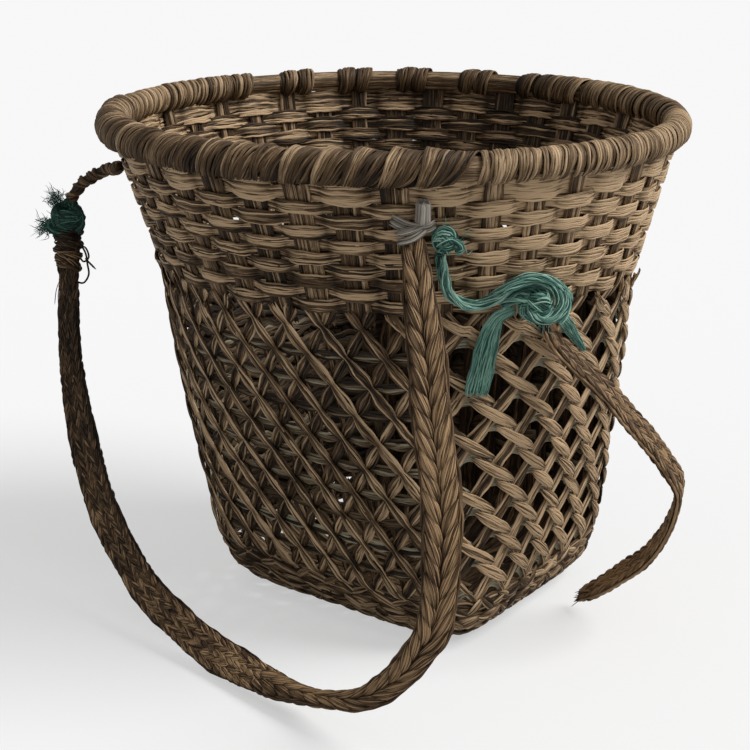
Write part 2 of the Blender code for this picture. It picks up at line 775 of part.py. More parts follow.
peg(all_lines, pale_bark, home)
sling(all_lines, bark, home)
band_knot("front_yarn_knot", all_lines, FRONT_KNOT_PLACE, FRONT_KNOT_RADII, yarn, home)
band_knot("side_yarn_knot", all_lines, SIDE_KNOT_PLACE, SIDE_KNOT_RADII, yarn, home)
lump("left_yarn_knot", by_shares(all_lines, LEFT_KNOT_SHARES), LEFT_KNOT_RADII, 0.0, yarn, home)
cord("left_tie_cord", route(all_lines, LEFT_TIE_SHARES), TIE_RADIUS, 3, dark_bark, home)
cord("yarn_cord", route(all_lines, YARN_SHARES), YARN_RADIUS, 2, yarn, home)

straps = (
    ("long_strap", LONG_STRAP_SHARES, long_strap_face, STRAP_WIDTH, STRAP_WIDTH_BY_SHARE),
    ("loose_strap", LOOSE_STRAP_SHARES, loose_strap_face, LOOSE_STRAP_WIDTH, LOOSE_STRAP_WIDTH_BY_SHARE),
)
tails = (
    ("yarn_tail_long", LONG_TAIL_SHARES, tail_face, LONG_TAIL_WIDTH, LONG_TAIL_WIDTH_BY_SHARE),
    ("yarn_tail_short", SHORT_TAIL_SHARES, tail_face, SHORT_TAIL_WIDTH, SHORT_TAIL_WIDTH_BY_SHARE),
)
for (strap, table, *form), hinge in zip(straps, (LONG_STRAP_HINGE_SHARES, LOOSE_STRAP_SHARES[0])):
    hang(ribbon(strap, route(all_lines, table), *form, STRAP, dark_bark, home), by_shares(all_lines, hinge))
for tail, table, *form in tails:
    ribbon(tail, route(all_lines, table), *form, YARN_TAIL, yarn, home)
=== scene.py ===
"""Looks of the woven carry basket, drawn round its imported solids: each strip is a bundle of split fibres."""

import math

import bpy
import numpy as np
from mathutils import Matrix, Vector


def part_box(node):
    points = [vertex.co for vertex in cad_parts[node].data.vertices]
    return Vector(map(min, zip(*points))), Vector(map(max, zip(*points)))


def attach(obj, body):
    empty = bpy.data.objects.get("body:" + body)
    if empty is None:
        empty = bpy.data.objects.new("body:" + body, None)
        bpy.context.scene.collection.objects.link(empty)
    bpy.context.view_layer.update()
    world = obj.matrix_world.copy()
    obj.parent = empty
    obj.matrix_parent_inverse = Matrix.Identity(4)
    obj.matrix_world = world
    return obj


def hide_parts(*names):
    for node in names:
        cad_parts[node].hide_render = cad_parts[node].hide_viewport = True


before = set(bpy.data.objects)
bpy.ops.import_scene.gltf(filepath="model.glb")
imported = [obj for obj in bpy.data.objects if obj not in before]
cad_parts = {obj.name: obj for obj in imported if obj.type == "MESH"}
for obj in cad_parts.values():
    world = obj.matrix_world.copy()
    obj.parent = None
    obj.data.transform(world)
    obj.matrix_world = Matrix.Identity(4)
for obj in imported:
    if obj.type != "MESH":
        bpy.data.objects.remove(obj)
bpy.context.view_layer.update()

# Wall form, in metres, as the solids have it.
HEIGHT = 0.352
BASE_HALF_X, BASE_HALF_Y = 0.1077, 0.0957
TOP_HALF_X, TOP_HALF_Y = 0.1847, 0.1887
BOTTOM_BEND = 0.034
BAND_FLARE = 0.007
LATTICE_INSET = 0.0042
RIM_LEAN_X, RIM_LEAN_Y = -0.009, -0.0125
WALL_LEAN = math.radians(14.0)
BASE_ROUNDNESS_SHARE, ROUND_ROUNDNESS_SHARE, ROUND_FROM_SHARE = 0.12, 0.5, 0.7
SLOPE_STEP = 0.002
# The left wall is a little fuller in the photo than in the solids.
SWELL, SWELL_HEIGHTS = 0.0070, (0.09, 0.335)
LINES, LINES_ON_Y_FACE, LINES_ON_X_FACE = 40, 9, 11
LINES_REACH_SHARE_X, LINES_REACH_SHARE_Y = 0.8633, 0.8522

LATTICE_FOOT = 0.0462
BAND_FOOT = 0.2475
LATTICE_HEAD = 0.238
ROWS = 10
ROW_PITCH = 0.0081
ROW_FIRST = 0.2530
HOOP_ROWS = 10
UPRIGHT_TOP = 0.3400
STRAND_TOP = 0.3445
RIM_HOOP_Z = 0.3422

STRIP = 0.0014
WEAVER_HEIGHT = 0.0073
WEAVER_OUT, WEAVER_IN = 0.0024, 0.00185
HOOP_HEIGHT = 0.0046
STRAND_WIDTH_LATTICE = 0.0064
STRAND_APART_WITH_UPRIGHT, STRAND_APART_ALONE = 0.00435, 0.0027
STRANDS = 4
UPRIGHT_WIDTH_BAND, UPRIGHT_WIDTH_LATTICE, UPRIGHT_WIDTH_BASE = 0.0034, 0.0050, 0.0110
BORDER_LAYER, BORDER_WIDTH = 0.0033, 0.0100
BORDER_TURNS = (46.0, 68.0, 90.0)
MAT_WAVE = 0.00095
MID = MAT_WAVE + STRIP / 2
BEND_TOP = MID + BOTTOM_BEND
BASE_PITCH_X, CROSS_PITCH = 0.0150, 0.0120
CROSS_WIDTH, CROSS_STRIPS = 0.0082, 9
CROSS_REACH_SHARE = 0.8348
TWILL = 2

# The lattice as the photo shows it, coarser than the solids: columns, rows and layers.
COLUMNS, LATTICE_ROWS = 32, 10
COLUMN_LINES = ((0, 0), (8, 8), (16, 20), (24, 28), (32, 40))
SEEN_FOOT = 0.0400
SEEN_RISE = (LATTICE_HEAD - SEEN_FOOT) / LATTICE_ROWS
HOOP_SEEN, RISING_SEEN, FALLING_SEEN = 0.0020, 0.0038, 0.0060

# Routes of the cords, in metres, from their exit.
LONG_STRAP_ROUTE = (
    (0.1170, -0.1432, 0.3012), (0.1212, -0.1480, 0.2905), (0.1265, -0.1520, 0.2800),
    (0.1320, -0.1567, 0.2675), (0.1407, -0.1634, 0.2425), (0.1486, -0.1701, 0.2155),
    (0.1579, -0.1768, 0.1890), (0.1664, -0.1835, 0.1623), (0.1731, -0.1912, 0.1295),
    (0.1746, -0.1968, 0.1037), (0.1724, -0.2002, 0.0859), (0.1660, -0.2019, 0.0736),
    (0.1582, -0.2036, 0.0601), (0.1448, -0.2050, 0.0451), (0.1251, -0.2054, 0.0300),
    (0.1035, -0.2042, 0.0216), (0.0769, -0.2016, 0.0146), (0.0407, -0.1974, 0.0120),
    (-0.0024, -0.1911, 0.0136), (-0.0419, -0.1849, 0.0215), (-0.0755, -0.1785, 0.0318),
    (-0.1065, -0.1702, 0.0495), (-0.1327, -0.1623, 0.0710), (-0.1548, -0.1536, 0.0987),
    (-0.1732, -0.1445, 0.1307), (-0.1888, -0.1349, 0.1667), (-0.1957, -0.1283, 0.1939),
    (-0.1992, -0.1236, 0.2147), (-0.2009, -0.1212, 0.2251), (-0.2020, -0.1188, 0.2350),
    (-0.2045, -0.1160, 0.2450), (-0.2070, -0.1142, 0.2525),
)
LONG_STRAP_WIDTH = 0.0270
LONG_STRAP_WIDTHS = (
    (0.0, 0.46), (0.02, 0.56), (0.07, 0.82), (0.20, 0.88), (0.30, 0.74), (0.37, 0.60), (0.42, 0.50),
    (0.47, 0.66), (0.54, 0.86), (0.80, 0.90), (0.92, 0.60), (0.965, 0.55), (1.0, 0.62),
)
LONG_STRAP_FACES = (
    (0.0, (0.50, -0.85, 0.10)), (0.33, (0.50, -0.80, 0.25)), (0.40, (0.35, -0.50, 0.80)),
    (0.445, (0.10, -0.10, 0.98)), (0.49, (0.12, -0.50, 0.82)), (0.60, (0.05, -0.85, 0.45)),
    (1.0, (0.30, -0.95, 0.10)),
)
LONG_STRAP_TONES = (
    (0.0, 0.62), (0.40, 0.64), (0.50, 0.44), (0.62, 0.38), (0.76, 0.24), (0.90, 0.16), (1.0, 0.12),
)
# Tones along the loose strap, mostly its own; the lighter stretch near its lower end is painted light, where
# the strap faces down and away from the light.
LOOSE_STRAP_TONES = ((0.0, 0.36), (0.5, 0.38), (0.64, 0.44), (0.90, 0.58), (1.0, 0.34))
LOOSE_STRAP_ROUTE = (
    (0.1608, -0.0635, 0.2385), (0.1630, -0.0522, 0.2245), (0.1690, -0.0463, 0.2159),
    (0.1743, -0.0410, 0.2083), (0.1803, -0.0358, 0.2010), (0.1899, -0.0258, 0.1868),
    (0.1979, -0.0165, 0.1724), (0.2071, -0.0063, 0.1572), (0.2145, 0.0037, 0.1407),
    (0.2196, 0.0109, 0.1285), (0.2212, 0.0153, 0.1196), (0.2189, 0.0194, 0.1086),
    (0.2124, 0.0248, 0.0907), (0.2039, 0.0291, 0.0739), (0.1920, 0.0324, 0.0561),
    (0.1731, 0.0336, 0.0376), (0.1540, 0.0340, 0.0204), (0.1396, 0.0336, 0.0096),
)
LOOSE_STRAP_ACROSS = (0.3224, -0.8667, -0.3807)
LOOSE_STRAP_WIDTH = 0.0250
LOOSE_STRAP_WIDTHS = ((0.0, 0.50), (0.12, 0.72), (0.30, 0.85), (0.85, 0.88), (0.95, 0.70), (1.0, 0.35))
LEFT_TIE_ROUTE = (
    (-0.1384, -0.1280, 0.3112), (-0.1490, -0.1200, 0.3085), (-0.1581, -0.1125, 0.3060),
    (-0.1705, -0.1091, 0.3031), (-0.1823, -0.1085, 0.2981), (-0.1941, -0.1083, 0.2916),
    (-0.2023, -0.1092, 0.2842), (-0.2060, -0.1105, 0.2768),
)
YARN_ROUTE = (
    (0.1284, -0.1322, 0.2924), (0.1266, -0.1284, 0.2860), (0.1262, -0.1256, 0.2766),
    (0.1272, -0.1204, 0.2645), (0.1315, -0.1115, 0.2570), (0.1382, -0.1037, 0.2557),
    (0.1471, -0.0987, 0.2611), (0.1544, -0.0932, 0.2680), (0.1620, -0.0853, 0.2720),
    (0.1690, -0.0738, 0.2695), (0.1738, -0.0633, 0.2610), (0.1735, -0.0590, 0.2540),
)
LONG_TAIL_ROUTE = (
    (0.1520, -0.0853, 0.2508), (0.1455, -0.0915, 0.2470), (0.1415, -0.0942, 0.2390),
    (0.1376, -0.0940, 0.2250), (0.1345, -0.0956, 0.2067), (0.1320, -0.0972, 0.1920),
)
SHORT_TAIL_ROUTE = (
    (0.1700, -0.0622, 0.2462), (0.1685, -0.0490, 0.2360), (0.1650, -0.0359, 0.2268),
    (0.1640, -0.0250, 0.2180), (0.1626, -0.0140, 0.2090),
)
TAIL_FACE = (0.80, -0.50, -0.20)

# Camera.
CAMERA_PLACE = (0.6413, -0.8917, 0.5137)
CAMERA_FORWARD = (-0.5645, 0.7656, -0.3085)
CAMERA_UP = (-0.1867, 0.2457, 0.9512)
CAMERA_LENS, CAMERA_SENSOR = 77.0, 36.0


def make_camera():
    data = bpy.data.cameras.new("camera")
    data.lens = CAMERA_LENS
    data.sensor_width = CAMERA_SENSOR
    camera = bpy.data.objects.new("camera", data)
    bpy.context.scene.collection.objects.link(camera)
    back = -Vector(CAMERA_FORWARD).normalized()
    right = Vector(CAMERA_UP).cross(back).normalized()
    up = back.cross(right)
    turn = Matrix((right, up, back)).transposed().to_4x4()
    camera.matrix_world = Matrix.Translation(CAMERA_PLACE) @ turn
    bpy.context.scene.camera = camera


make_camera()

# Lines and tables.
UP = np.array([0.0, 0.0, 1.0])


def unit(vectors):
    return vectors / np.linalg.norm(vectors, axis=-1, keepdims=True)


def ramp(value, start, end):
    """0 before the start, 1 after the end and even between."""
    return np.clip((value - start) / (end - start), 0.0, 1.0)


def interpolated(wanted, along, values):
    """Numbers or points read off at the wanted distances."""
    if values.ndim == 1:
        return np.interp(wanted, along, values)
    return np.stack([np.interp(wanted, along, column) for column in values.T], axis=-1)


def read_table(table, share):
    """The table's number or direction at these shares."""
    values = np.array([value for _, value in table], float)
    found = interpolated(share, [place for place, _ in table], values)
    return found if values.ndim == 1 else unit(found)


def curve_through(points, steps):
    """A smooth curve through the chosen points."""
    points = np.array(points, float)
    found = []
    for index in range(len(points) - 1):
        before, here = points[max(index - 1, 0)], points[index]
        there, after = points[index + 1], points[min(index + 2, len(points) - 1)]
        share = (np.arange(steps) / steps)[:, None]
        run = (there - before) * share
        run = run + (before * 2 - here * 5 + there * 4 - after) * share**2
        run = run + (here * 3 - before - there * 3 + after) * share**3
        found.append(here + run / 2)
    return np.vstack([*found, points[-1:]])


def lengths_along(points):
    steps = np.linalg.norm(np.diff(points, axis=0), axis=1)
    return np.concatenate([[0.0], np.cumsum(steps)])


def evenly(points, spacing):
    """The same line with its points set at even steps."""
    along = lengths_along(points)
    count = max(int(round(along[-1] / spacing)), 2)
    return interpolated(np.linspace(0.0, along[-1], count + 1), along, points)


def tangents(points, closed=False):
    if closed:
        return unit(np.roll(points, -1, axis=0) - np.roll(points, 1, axis=0))
    return unit(np.gradient(points, axis=0))


def shifted(centres, normals, amount, closed=False):
    """The line moved sideways within its surface."""
    across = unit(np.cross(normals, tangents(centres, closed)))
    return centres + across * np.broadcast_to(np.asarray(amount, float), (len(centres),))[:, None]


def arch(share):
    """0 at both ends of a length and 1 in its middle."""
    return np.sin(math.pi * share)


def leaf_shape(share, end, power):
    """Widths of a leaf along its length: full in the middle, narrow at both ends."""
    return arch(np.clip(share, end, 1.0 - end)) ** power


# Wall surface, for arrays of places and heights.
def half_sides(height, inset):
    share = height / HEIGHT
    more = BAND_FLARE * ramp(height, BAND_FOOT, STRAND_TOP) - inset
    more = more - LATTICE_INSET * (1.0 - ramp(height, LATTICE_HEAD, BAND_FOOT))
    side_x = BASE_HALF_X + (TOP_HALF_X - BASE_HALF_X) * share + more
    side_y = BASE_HALF_Y + (TOP_HALF_Y - BASE_HALF_Y) * share + more
    return side_x, side_y


def base_turn(share, other_axis):
    power = 1.0 / BASE_ROUNDNESS_SHARE
    across = (1.0 - abs(share) ** power) ** (1.0 / power)
    return math.atan2(-across, share) if other_axis else math.atan2(share, across)


def line_turns():
    """Plan directions of the lines, at the base and where the wall is round."""
    low, high = [], []
    step = math.tau / LINES
    for quarter in range(4):
        on_y = quarter % 2 == 0
        count = LINES_ON_Y_FACE if on_y else LINES_ON_X_FACE
        reach = LINES_REACH_SHARE_X if on_y else LINES_REACH_SHARE_Y
        middle = quarter * math.pi / 2 - math.pi / 2
        for place in range(count):
            steps = place - (count - 1) / 2
            turn = base_turn(reach * 2 * steps / (count - 1), on_y) + (math.pi / 2 if on_y else 0.0)
            low.append(middle + turn)
            high.append(middle + steps * step)
    return np.array(low + [low[0] + math.tau]), np.array(high + [high[0] + math.tau])


LOW_TURNS, HIGH_TURNS = line_turns()


def round_share(height):
    """How round the plan is at this height: 0 as the base, 1 fully round."""
    return np.clip(height / HEIGHT / ROUND_FROM_SHARE, 0.0, 1.0)


def outline(turn, height, inset):
    """Points of the wall's plan in these directions and at these heights, and the direction straight out."""
    share = BASE_ROUNDNESS_SHARE + (ROUND_ROUNDNESS_SHARE - BASE_ROUNDNESS_SHARE) * round_share(height)
    side_x, side_y = half_sides(height, inset)
    power = 1.0 / share
    cosine, sine = np.cos(turn), np.sin(turn)
    reach = (np.abs(cosine) ** power + np.abs(sine) ** power) ** (-share)
    flat_x, flat_y = side_x * reach * cosine, side_y * reach * sine
    swell = SWELL * arch(ramp(height, *SWELL_HEIGHTS)) ** 0.8 * np.clip(-cosine, 0.0, 1.0) ** 1.5
    slope_x = np.sign(flat_x) * (np.abs(flat_x) / side_x) ** (power - 1.0) / side_x
    slope_y = np.sign(flat_y) * (np.abs(flat_y) / side_y) ** (power - 1.0) / side_y
    moved = (height - RIM_HOOP_Z) / HEIGHT
    point = np.stack([flat_x - swell + RIM_LEAN_X * moved, flat_y + RIM_LEAN_Y * moved, height], axis=-1)
    out = unit(np.stack([slope_x, slope_y, np.zeros_like(slope_x)], axis=-1))
    return point, out


def plan(place, height, inset=0.0):
    """Points of the wall's plan at these places and heights, and the plan direction straight out."""
    place, height = np.broadcast_arrays(np.asarray(place, float), np.asarray(height, float))
    lines = np.arange(LINES + 1)
    low = np.interp(place % LINES, lines, LOW_TURNS)
    high = np.interp(place % LINES, lines, HIGH_TURNS)
    return outline(low + (high - low) * round_share(height), height, inset)


def wall(place, height, offset=0.0):
    """Points this far outside the wall, and the outward normals there."""
    point, out = plan(place, height)
    step = np.where(point[..., 2] < HEIGHT / 2, SLOPE_STEP, -SLOPE_STEP)
    rise = plan(place, point[..., 2] + step)[0] - point
    lean = (rise * out).sum(-1, keepdims=True) * np.sign(step)[..., None]
    normal = unit(out * np.abs(rise[..., 2:3]) - UP * lean)
    return point + normal * np.asarray(offset, float)[..., None], normal


def bend_level(turn):
    """Height of the rounded bottom edge at this turn, and how far inside the wall it lies."""
    return MID + BOTTOM_BEND * (1.0 - np.cos(turn)), BOTTOM_BEND * (1.0 - np.sin(turn))


def bend_normal(out, turn):
    lean = np.maximum(WALL_LEAN, math.pi / 2 - turn)[..., None]
    return out * np.cos(lean) - UP * np.sin(lean)


def bend(place, turn, offset=0.0):
    """Points on the rounded bottom edge: turn 0 is flat on the floor, a right angle is the wall."""
    place, turn = np.broadcast_arrays(np.asarray(place, float), np.asarray(turn, float))
    point, out = plan(place, *bend_level(turn))
    normal = bend_normal(out, turn)
    return point + normal * np.asarray(offset, float)[..., None], normal


def bend_towards(direction, turn):
    """A point on the rounded bottom edge in a fixed plan direction, and the normal there."""
    point, out = outline(direction, *bend_level(turn))
    return point, bend_normal(out, turn)


# Fibres: tubes of rounded flat section, gathered into one mesh for each piece.
SWAY_WAVES = ((0.075, 0.5), (0.031, 0.32), (0.013, 0.18))
CLOSED_END = 0.00001


def narrowed(halves, along, taper):
    """Half sizes of an open fibre, drawn in towards its ends and closed there."""
    if taper:
        halves = halves * np.clip(np.minimum(along, along[-1] - along) / taper, 0.02, 1.0) ** 0.6
    halves[[0, -1]] = CLOSED_END
    return halves


class Fibres:
    """The fibres of one piece, with the random numbers that they draw from."""

    def __init__(self, seed):
        self.random = np.random.default_rng(seed)
        self.points, self.corners, self.uvs, self.shades = [], [], [], []
        self.count = 0

    def stray(self):
        """A random number from -0.5 to 0.5."""
        return self.random.random() - 0.5

    def sway(self, along, closed=False):
        """A slow random wave along a fibre, about -1 to 1."""
        total = along[-1]
        found = np.zeros(len(along))
        for wave, part in SWAY_WAVES:
            turns = total / wave
            if closed:
                turns = max(round(turns), 1)
            found += part * np.sin(math.tau * (turns * along / total + self.random.random()))
        return found

    def add(self, centres, normals, half_widths, half_heights, closed=False, shade=0.5, sides=6, taper=0.0):
        """One fibre along these centres."""
        centres = np.asarray(centres, float)
        count = len(centres)
        half_widths = np.broadcast_to(np.asarray(half_widths, float), (count,)).copy()
        half_heights = np.broadcast_to(np.asarray(half_heights, float), (count,)).copy()
        tangent = tangents(centres, closed)
        across = unit(np.cross(normals, tangent))
        up = np.cross(tangent, across)
        along = lengths_along(np.vstack([centres, centres[:1]]) if closed else centres)
        if not closed:
            half_widths = narrowed(half_widths, along, taper)
            half_heights = narrowed(half_heights, along, taper)
        turn = np.linspace(0.0, math.tau, sides, endpoint=False)
        ring = across[:, None] * (np.cos(turn)[None] * half_widths[:, None])[..., None]
        ring = ring + up[:, None] * (np.sin(turn)[None] * half_heights[:, None])[..., None]
        self.points.append((centres[:, None] + ring).reshape(-1, 3))
        self.shades.append(np.repeat(np.broadcast_to(np.asarray(shade, float), (count,)), sides))
        rings = count if closed else count - 1
        self.add_quads(count, rings, sides)
        self.add_uvs(along, rings, sides, math.tau * float(np.median(half_widths)))
        self.count += count * sides

    def add_quads(self, count, rings, sides):
        here = np.arange(rings)[:, None] * sides
        there = (np.arange(rings)[:, None] + 1) % count * sides
        side = np.arange(sides)[None]
        step = (side + 1) % sides
        quads = np.stack(np.broadcast_arrays(here + side, here + step, there + step, there + side), axis=-1)
        self.corners.append(quads.reshape(-1) + self.count)

    def add_uvs(self, along, rings, sides, girth):
        """Texture places in metres: round the fibre one way and along it the other."""
        side = np.arange(sides)[None]
        shift = self.random.random() * 7.0
        low = shift + side * girth / sides
        high = shift + (side + 1) * girth / sides
        begin = shift * 3.0 + along[:rings][:, None]
        end = shift * 3.0 + along[1 : rings + 1][:, None]
        us = np.stack(np.broadcast_arrays(low, high, high, low + 0 * begin), axis=-1)
        vs = np.stack(np.broadcast_arrays(begin, begin, end, end + 0 * side), axis=-1)
        self.uvs.append(np.stack([us, vs], axis=-1).reshape(-1, 2))

    def bundle(
        self, centres, normals, widths, number, thickness, closed=False, crown=0.4, wander=0.35,
        shade=0.5, spread=0.34, taper=0.0, fill=0.6, dome=0.0, roll=0.0, painted_side_light=0.0
    ):
        """Fibres side by side along a strip, a little uneven, crowned in the middle."""
        centres = np.asarray(centres, float)
        widths = np.broadcast_to(np.asarray(widths, float), (len(centres),))
        tangent = tangents(centres, closed)
        across = unit(np.cross(normals, tangent))
        along = lengths_along(centres)
        for index in range(number):
            place = (index - (number - 1) / 2) / number
            sway = self.sway(along, closed) * wander / number
            lift = self.sway(along, closed) * 0.25 + crown * (1.0 - 4.0 * place * place)
            moved = centres + across * (widths * (place + sway))[:, None]
            rise = dome * (1.0 - 4.0 * place * place) + roll * place
            moved = moved + normals * (lift * thickness / 2 + rise)[:, None]
            half = widths / number * fill * (1.0 + 0.18 * self.sway(along, closed))
            tone = shade + spread * (self.random.random() * 2.0 - 1.0) + 0.06 * self.sway(along, closed)
            # The side term makes one side of the strip lighter and the other darker: painted light and shade.
            self.add(moved, normals, half, thickness / 2, closed, tone + painted_side_light * place, taper=taper)
        # A dark flat ribbon under the fibres: painted shade that shows in the gaps between them.
        inner = centres + normals * (thickness * 0.15)
        self.add(inner, normals, widths * 0.42, thickness * 0.16, closed, shade - 0.30, 4, taper)

    def mesh(self, name, look, node=None, body="basket", slot="bark"):
        """The finished piece, riding on its body and standing in for its solid."""
        points = np.vstack(self.points)
        corners = np.concatenate(self.corners).astype(np.int32)
        mesh = bpy.data.meshes.new(name)
        mesh.vertices.add(len(points))
        mesh.vertices.foreach_set("co", points.astype(np.float32).ravel())
        mesh.loops.add(len(corners))
        mesh.loops.foreach_set("vertex_index", corners)
        mesh.polygons.add(len(corners) // 4)
        mesh.polygons.foreach_set("loop_start", np.arange(0, len(corners), 4, dtype=np.int32))
        mesh.update(calc_edges=True)
        mesh.polygons.foreach_set("use_smooth", np.ones(len(corners) // 4, bool))
        layer = mesh.uv_layers.new(name="fibre")
        layer.data.foreach_set("uv", np.vstack(self.uvs).astype(np.float32).ravel())
        shade = mesh.attributes.new("shade", "FLOAT", "POINT")
        shade.data.foreach_set("value", np.clip(np.concatenate(self.shades), 0.0, 1.0).astype(np.float32))
        mesh.materials.append(look)
        piece = bpy.data.objects.new(name, mesh)
        bpy.context.scene.collection.objects.link(piece)
        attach(piece, body)
        if node:
            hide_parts(node)
        return piece


# Materials: streaks along each fibre, soft patches and the fibre's own shade set the tone.
STREAKS_ACROSS, STREAKS_ALONG, STREAK_DETAIL, STREAK_ROUGHNESS = 1500.0, 55.0, 4.0, 0.68
PATCH_SCALE, PATCH_DETAIL, PATCH_ROUGHNESS = 22.0, 5.0, 0.65
SHADE_WEIGHT, PATCH_WEIGHT = 0.43, 0.18
DARK_STOP, MIDDLE_STOP, LIGHT_STOP = 0.33, 0.47, 0.61
RELIEF_DEPTH = 0.0004


def noise(tree, vector, scale, detail, roughness, dimensions):
    node = tree.nodes.new("ShaderNodeTexNoise")
    node.noise_dimensions = dimensions
    node.inputs["Scale"].default_value = scale
    node.inputs["Detail"].default_value = detail
    node.inputs["Roughness"].default_value = roughness
    tree.links.new(vector, node.inputs["Vector"])
    return node.outputs["Fac"]


def streaks(tree, across):
    """Thin streaks along the fibre, this many to the metre across it."""
    uv = tree.nodes.new("ShaderNodeUVMap")
    uv.uv_map = "fibre"
    place = tree.nodes.new("ShaderNodeMapping")
    place.inputs["Scale"].default_value = (across, STREAKS_ALONG, 1.0)
    tree.links.new(uv.outputs["UV"], place.inputs["Vector"])
    return noise(tree, place.outputs["Vector"], 1.0, STREAK_DETAIL, STREAK_ROUGHNESS, "2D")


def mixed(tree, first, second, weight):
    node = tree.nodes.new("ShaderNodeMix")
    node.inputs["Factor"].default_value = weight
    tree.links.new(first, node.inputs["A"])
    tree.links.new(second, node.inputs["B"])
    return node.outputs["Result"]


def fibre_tone(tree, streak):
    coords = tree.nodes.new("ShaderNodeTexCoord")
    patches = noise(tree, coords.outputs["Object"], PATCH_SCALE, PATCH_DETAIL, PATCH_ROUGHNESS, "3D")
    shade = tree.nodes.new("ShaderNodeAttribute")
    shade.attribute_name = "shade"
    return mixed(tree, mixed(tree, streak, shade.outputs["Fac"], SHADE_WEIGHT), patches, PATCH_WEIGHT)


def coloured(tree, tone, dark, middle, light):
    node = tree.nodes.new("ShaderNodeValToRGB")
    stops = node.color_ramp.elements
    stops[0].position = DARK_STOP
    stops[0].color = (*dark, 1.0)
    stops[1].position = LIGHT_STOP
    stops[1].color = (*light, 1.0)
    stops.new(MIDDLE_STOP).color = (*middle, 1.0)
    tree.links.new(tone, node.inputs["Fac"])
    return node.outputs["Color"]


def fibre_material(name, dark, middle, light, across=STREAKS_ACROSS, roughness=0.55, bump=0.7):
    made = bpy.data.materials.new(name)
    made.use_nodes = True
    tree = made.node_tree
    shader = tree.nodes["Principled BSDF"]
    shader.inputs["Specular IOR Level"].default_value = 0.28
    streak = streaks(tree, across)
    colour = coloured(tree, fibre_tone(tree, streak), dark, middle, light)
    tree.links.new(colour, shader.inputs["Base Color"])
    rough = tree.nodes.new("ShaderNodeMapRange")
    rough.inputs["To Min"].default_value = roughness + 0.14
    rough.inputs["To Max"].default_value = roughness - 0.12
    tree.links.new(streak, rough.inputs["Value"])
    tree.links.new(rough.outputs["Result"], shader.inputs["Roughness"])
    relief = tree.nodes.new("ShaderNodeBump")
    relief.inputs["Strength"].default_value = bump
    relief.inputs["Distance"].default_value = RELIEF_DEPTH
    tree.links.new(streak, relief.inputs["Height"])
    tree.links.new(relief.outputs["Normal"], shader.inputs["Normal"])
    return made


bark = fibre_material("bark", (0.012, 0.006, 0.002), (0.138, 0.080, 0.036), (0.680, 0.480, 0.285))
hoop_bark = fibre_material("hoop_bark", (0.012, 0.007, 0.003), (0.130, 0.080, 0.038), (0.450, 0.420, 0.300))
dark_bark = fibre_material("dark_bark", (0.010, 0.005, 0.002), (0.110, 0.062, 0.028), (0.480, 0.310, 0.165))
PALE_COLOURS = ((0.090, 0.075, 0.058), (0.300, 0.268, 0.222), (0.560, 0.520, 0.455))
pale_bark = fibre_material("pale_bark", *PALE_COLOURS, bump=0.8)
YARN_COLOURS = ((0.020, 0.050, 0.040), (0.105, 0.270, 0.212), (0.430, 0.670, 0.560))
yarn = fibre_material("yarn", *YARN_COLOURS, across=2500.0, roughness=0.85)


# Cords: straps, tie and yarn.
ROUTE_STEPS = 8
STRAP_SPACING, TIE_SPACING, YARN_SPACING = 0.002, 0.001, 0.0015
STRIP_TIP, THREAD_TIP, WRAP_TIP = 0.004, 0.003, 0.002
YARN_THREAD, TAIL_THREAD, TUFT_THREAD = 0.00042, 0.00040, 0.00020


class Strap:
    """The middle line of a flat strap, with its facing direction, width and tone at each point."""

    def __init__(self, route, width, widths, tones, faces):
        self.centres = evenly(curve_through(route, ROUTE_STEPS), STRAP_SPACING)
        self.along = lengths_along(self.centres)
        self.length = self.along[-1]
        share = self.along / self.length
        tangent = tangents(self.centres)
        facing = faces(share, tangent)
        self.facing = unit(facing - tangent * (facing * tangent).sum(-1, keepdims=True))
        self.across = np.cross(self.facing, tangent)
        self.widths = width * read_table(widths, share)
        self.tones = tones

    def at(self, distance, values):
        """The values at these distances along the strap."""
        return interpolated(np.clip(distance, 0.0, self.length), self.along, values)

    def tone(self, distance):
        return read_table(self.tones, distance / self.length)


BRAID_PITCH, LEAF_LENGTH, LEAF_WIDTH = 0.0122, 0.0225, 0.0092
BRAID_THICKNESS, PLAIT_THICKNESS = 0.0056, 0.0050
LEAF_FIBRES = 10


def braid(fibres, strap, start_share, end_share):
    """A flat braid: plump leaf-shaped bundles run from each edge to the middle, on both faces."""
    start, end = strap.length * start_share, strap.length * end_share
    leaves = int(strap.length * (end_share - start_share) / BRAID_PITCH) + 2
    share = np.linspace(0.0, 1.0, 10)
    slack = 0.3 * BRAID_PITCH
    for face in (1.0, -1.0):
        for column in (-1.0, 1.0):
            for leaf in range(-1, leaves):
                jitter = 0.16 * BRAID_PITCH * fibres.stray()
                first = start + (leaf + (0.5 if column > 0 else 0.0)) * BRAID_PITCH + jitter
                distance = first + share * LEAF_LENGTH
                inside = (distance > start - slack) & (distance < end + slack)
                if inside.sum() >= 6:
                    braid_leaf(fibres, strap, np.clip(distance, start, end), share, column, face)


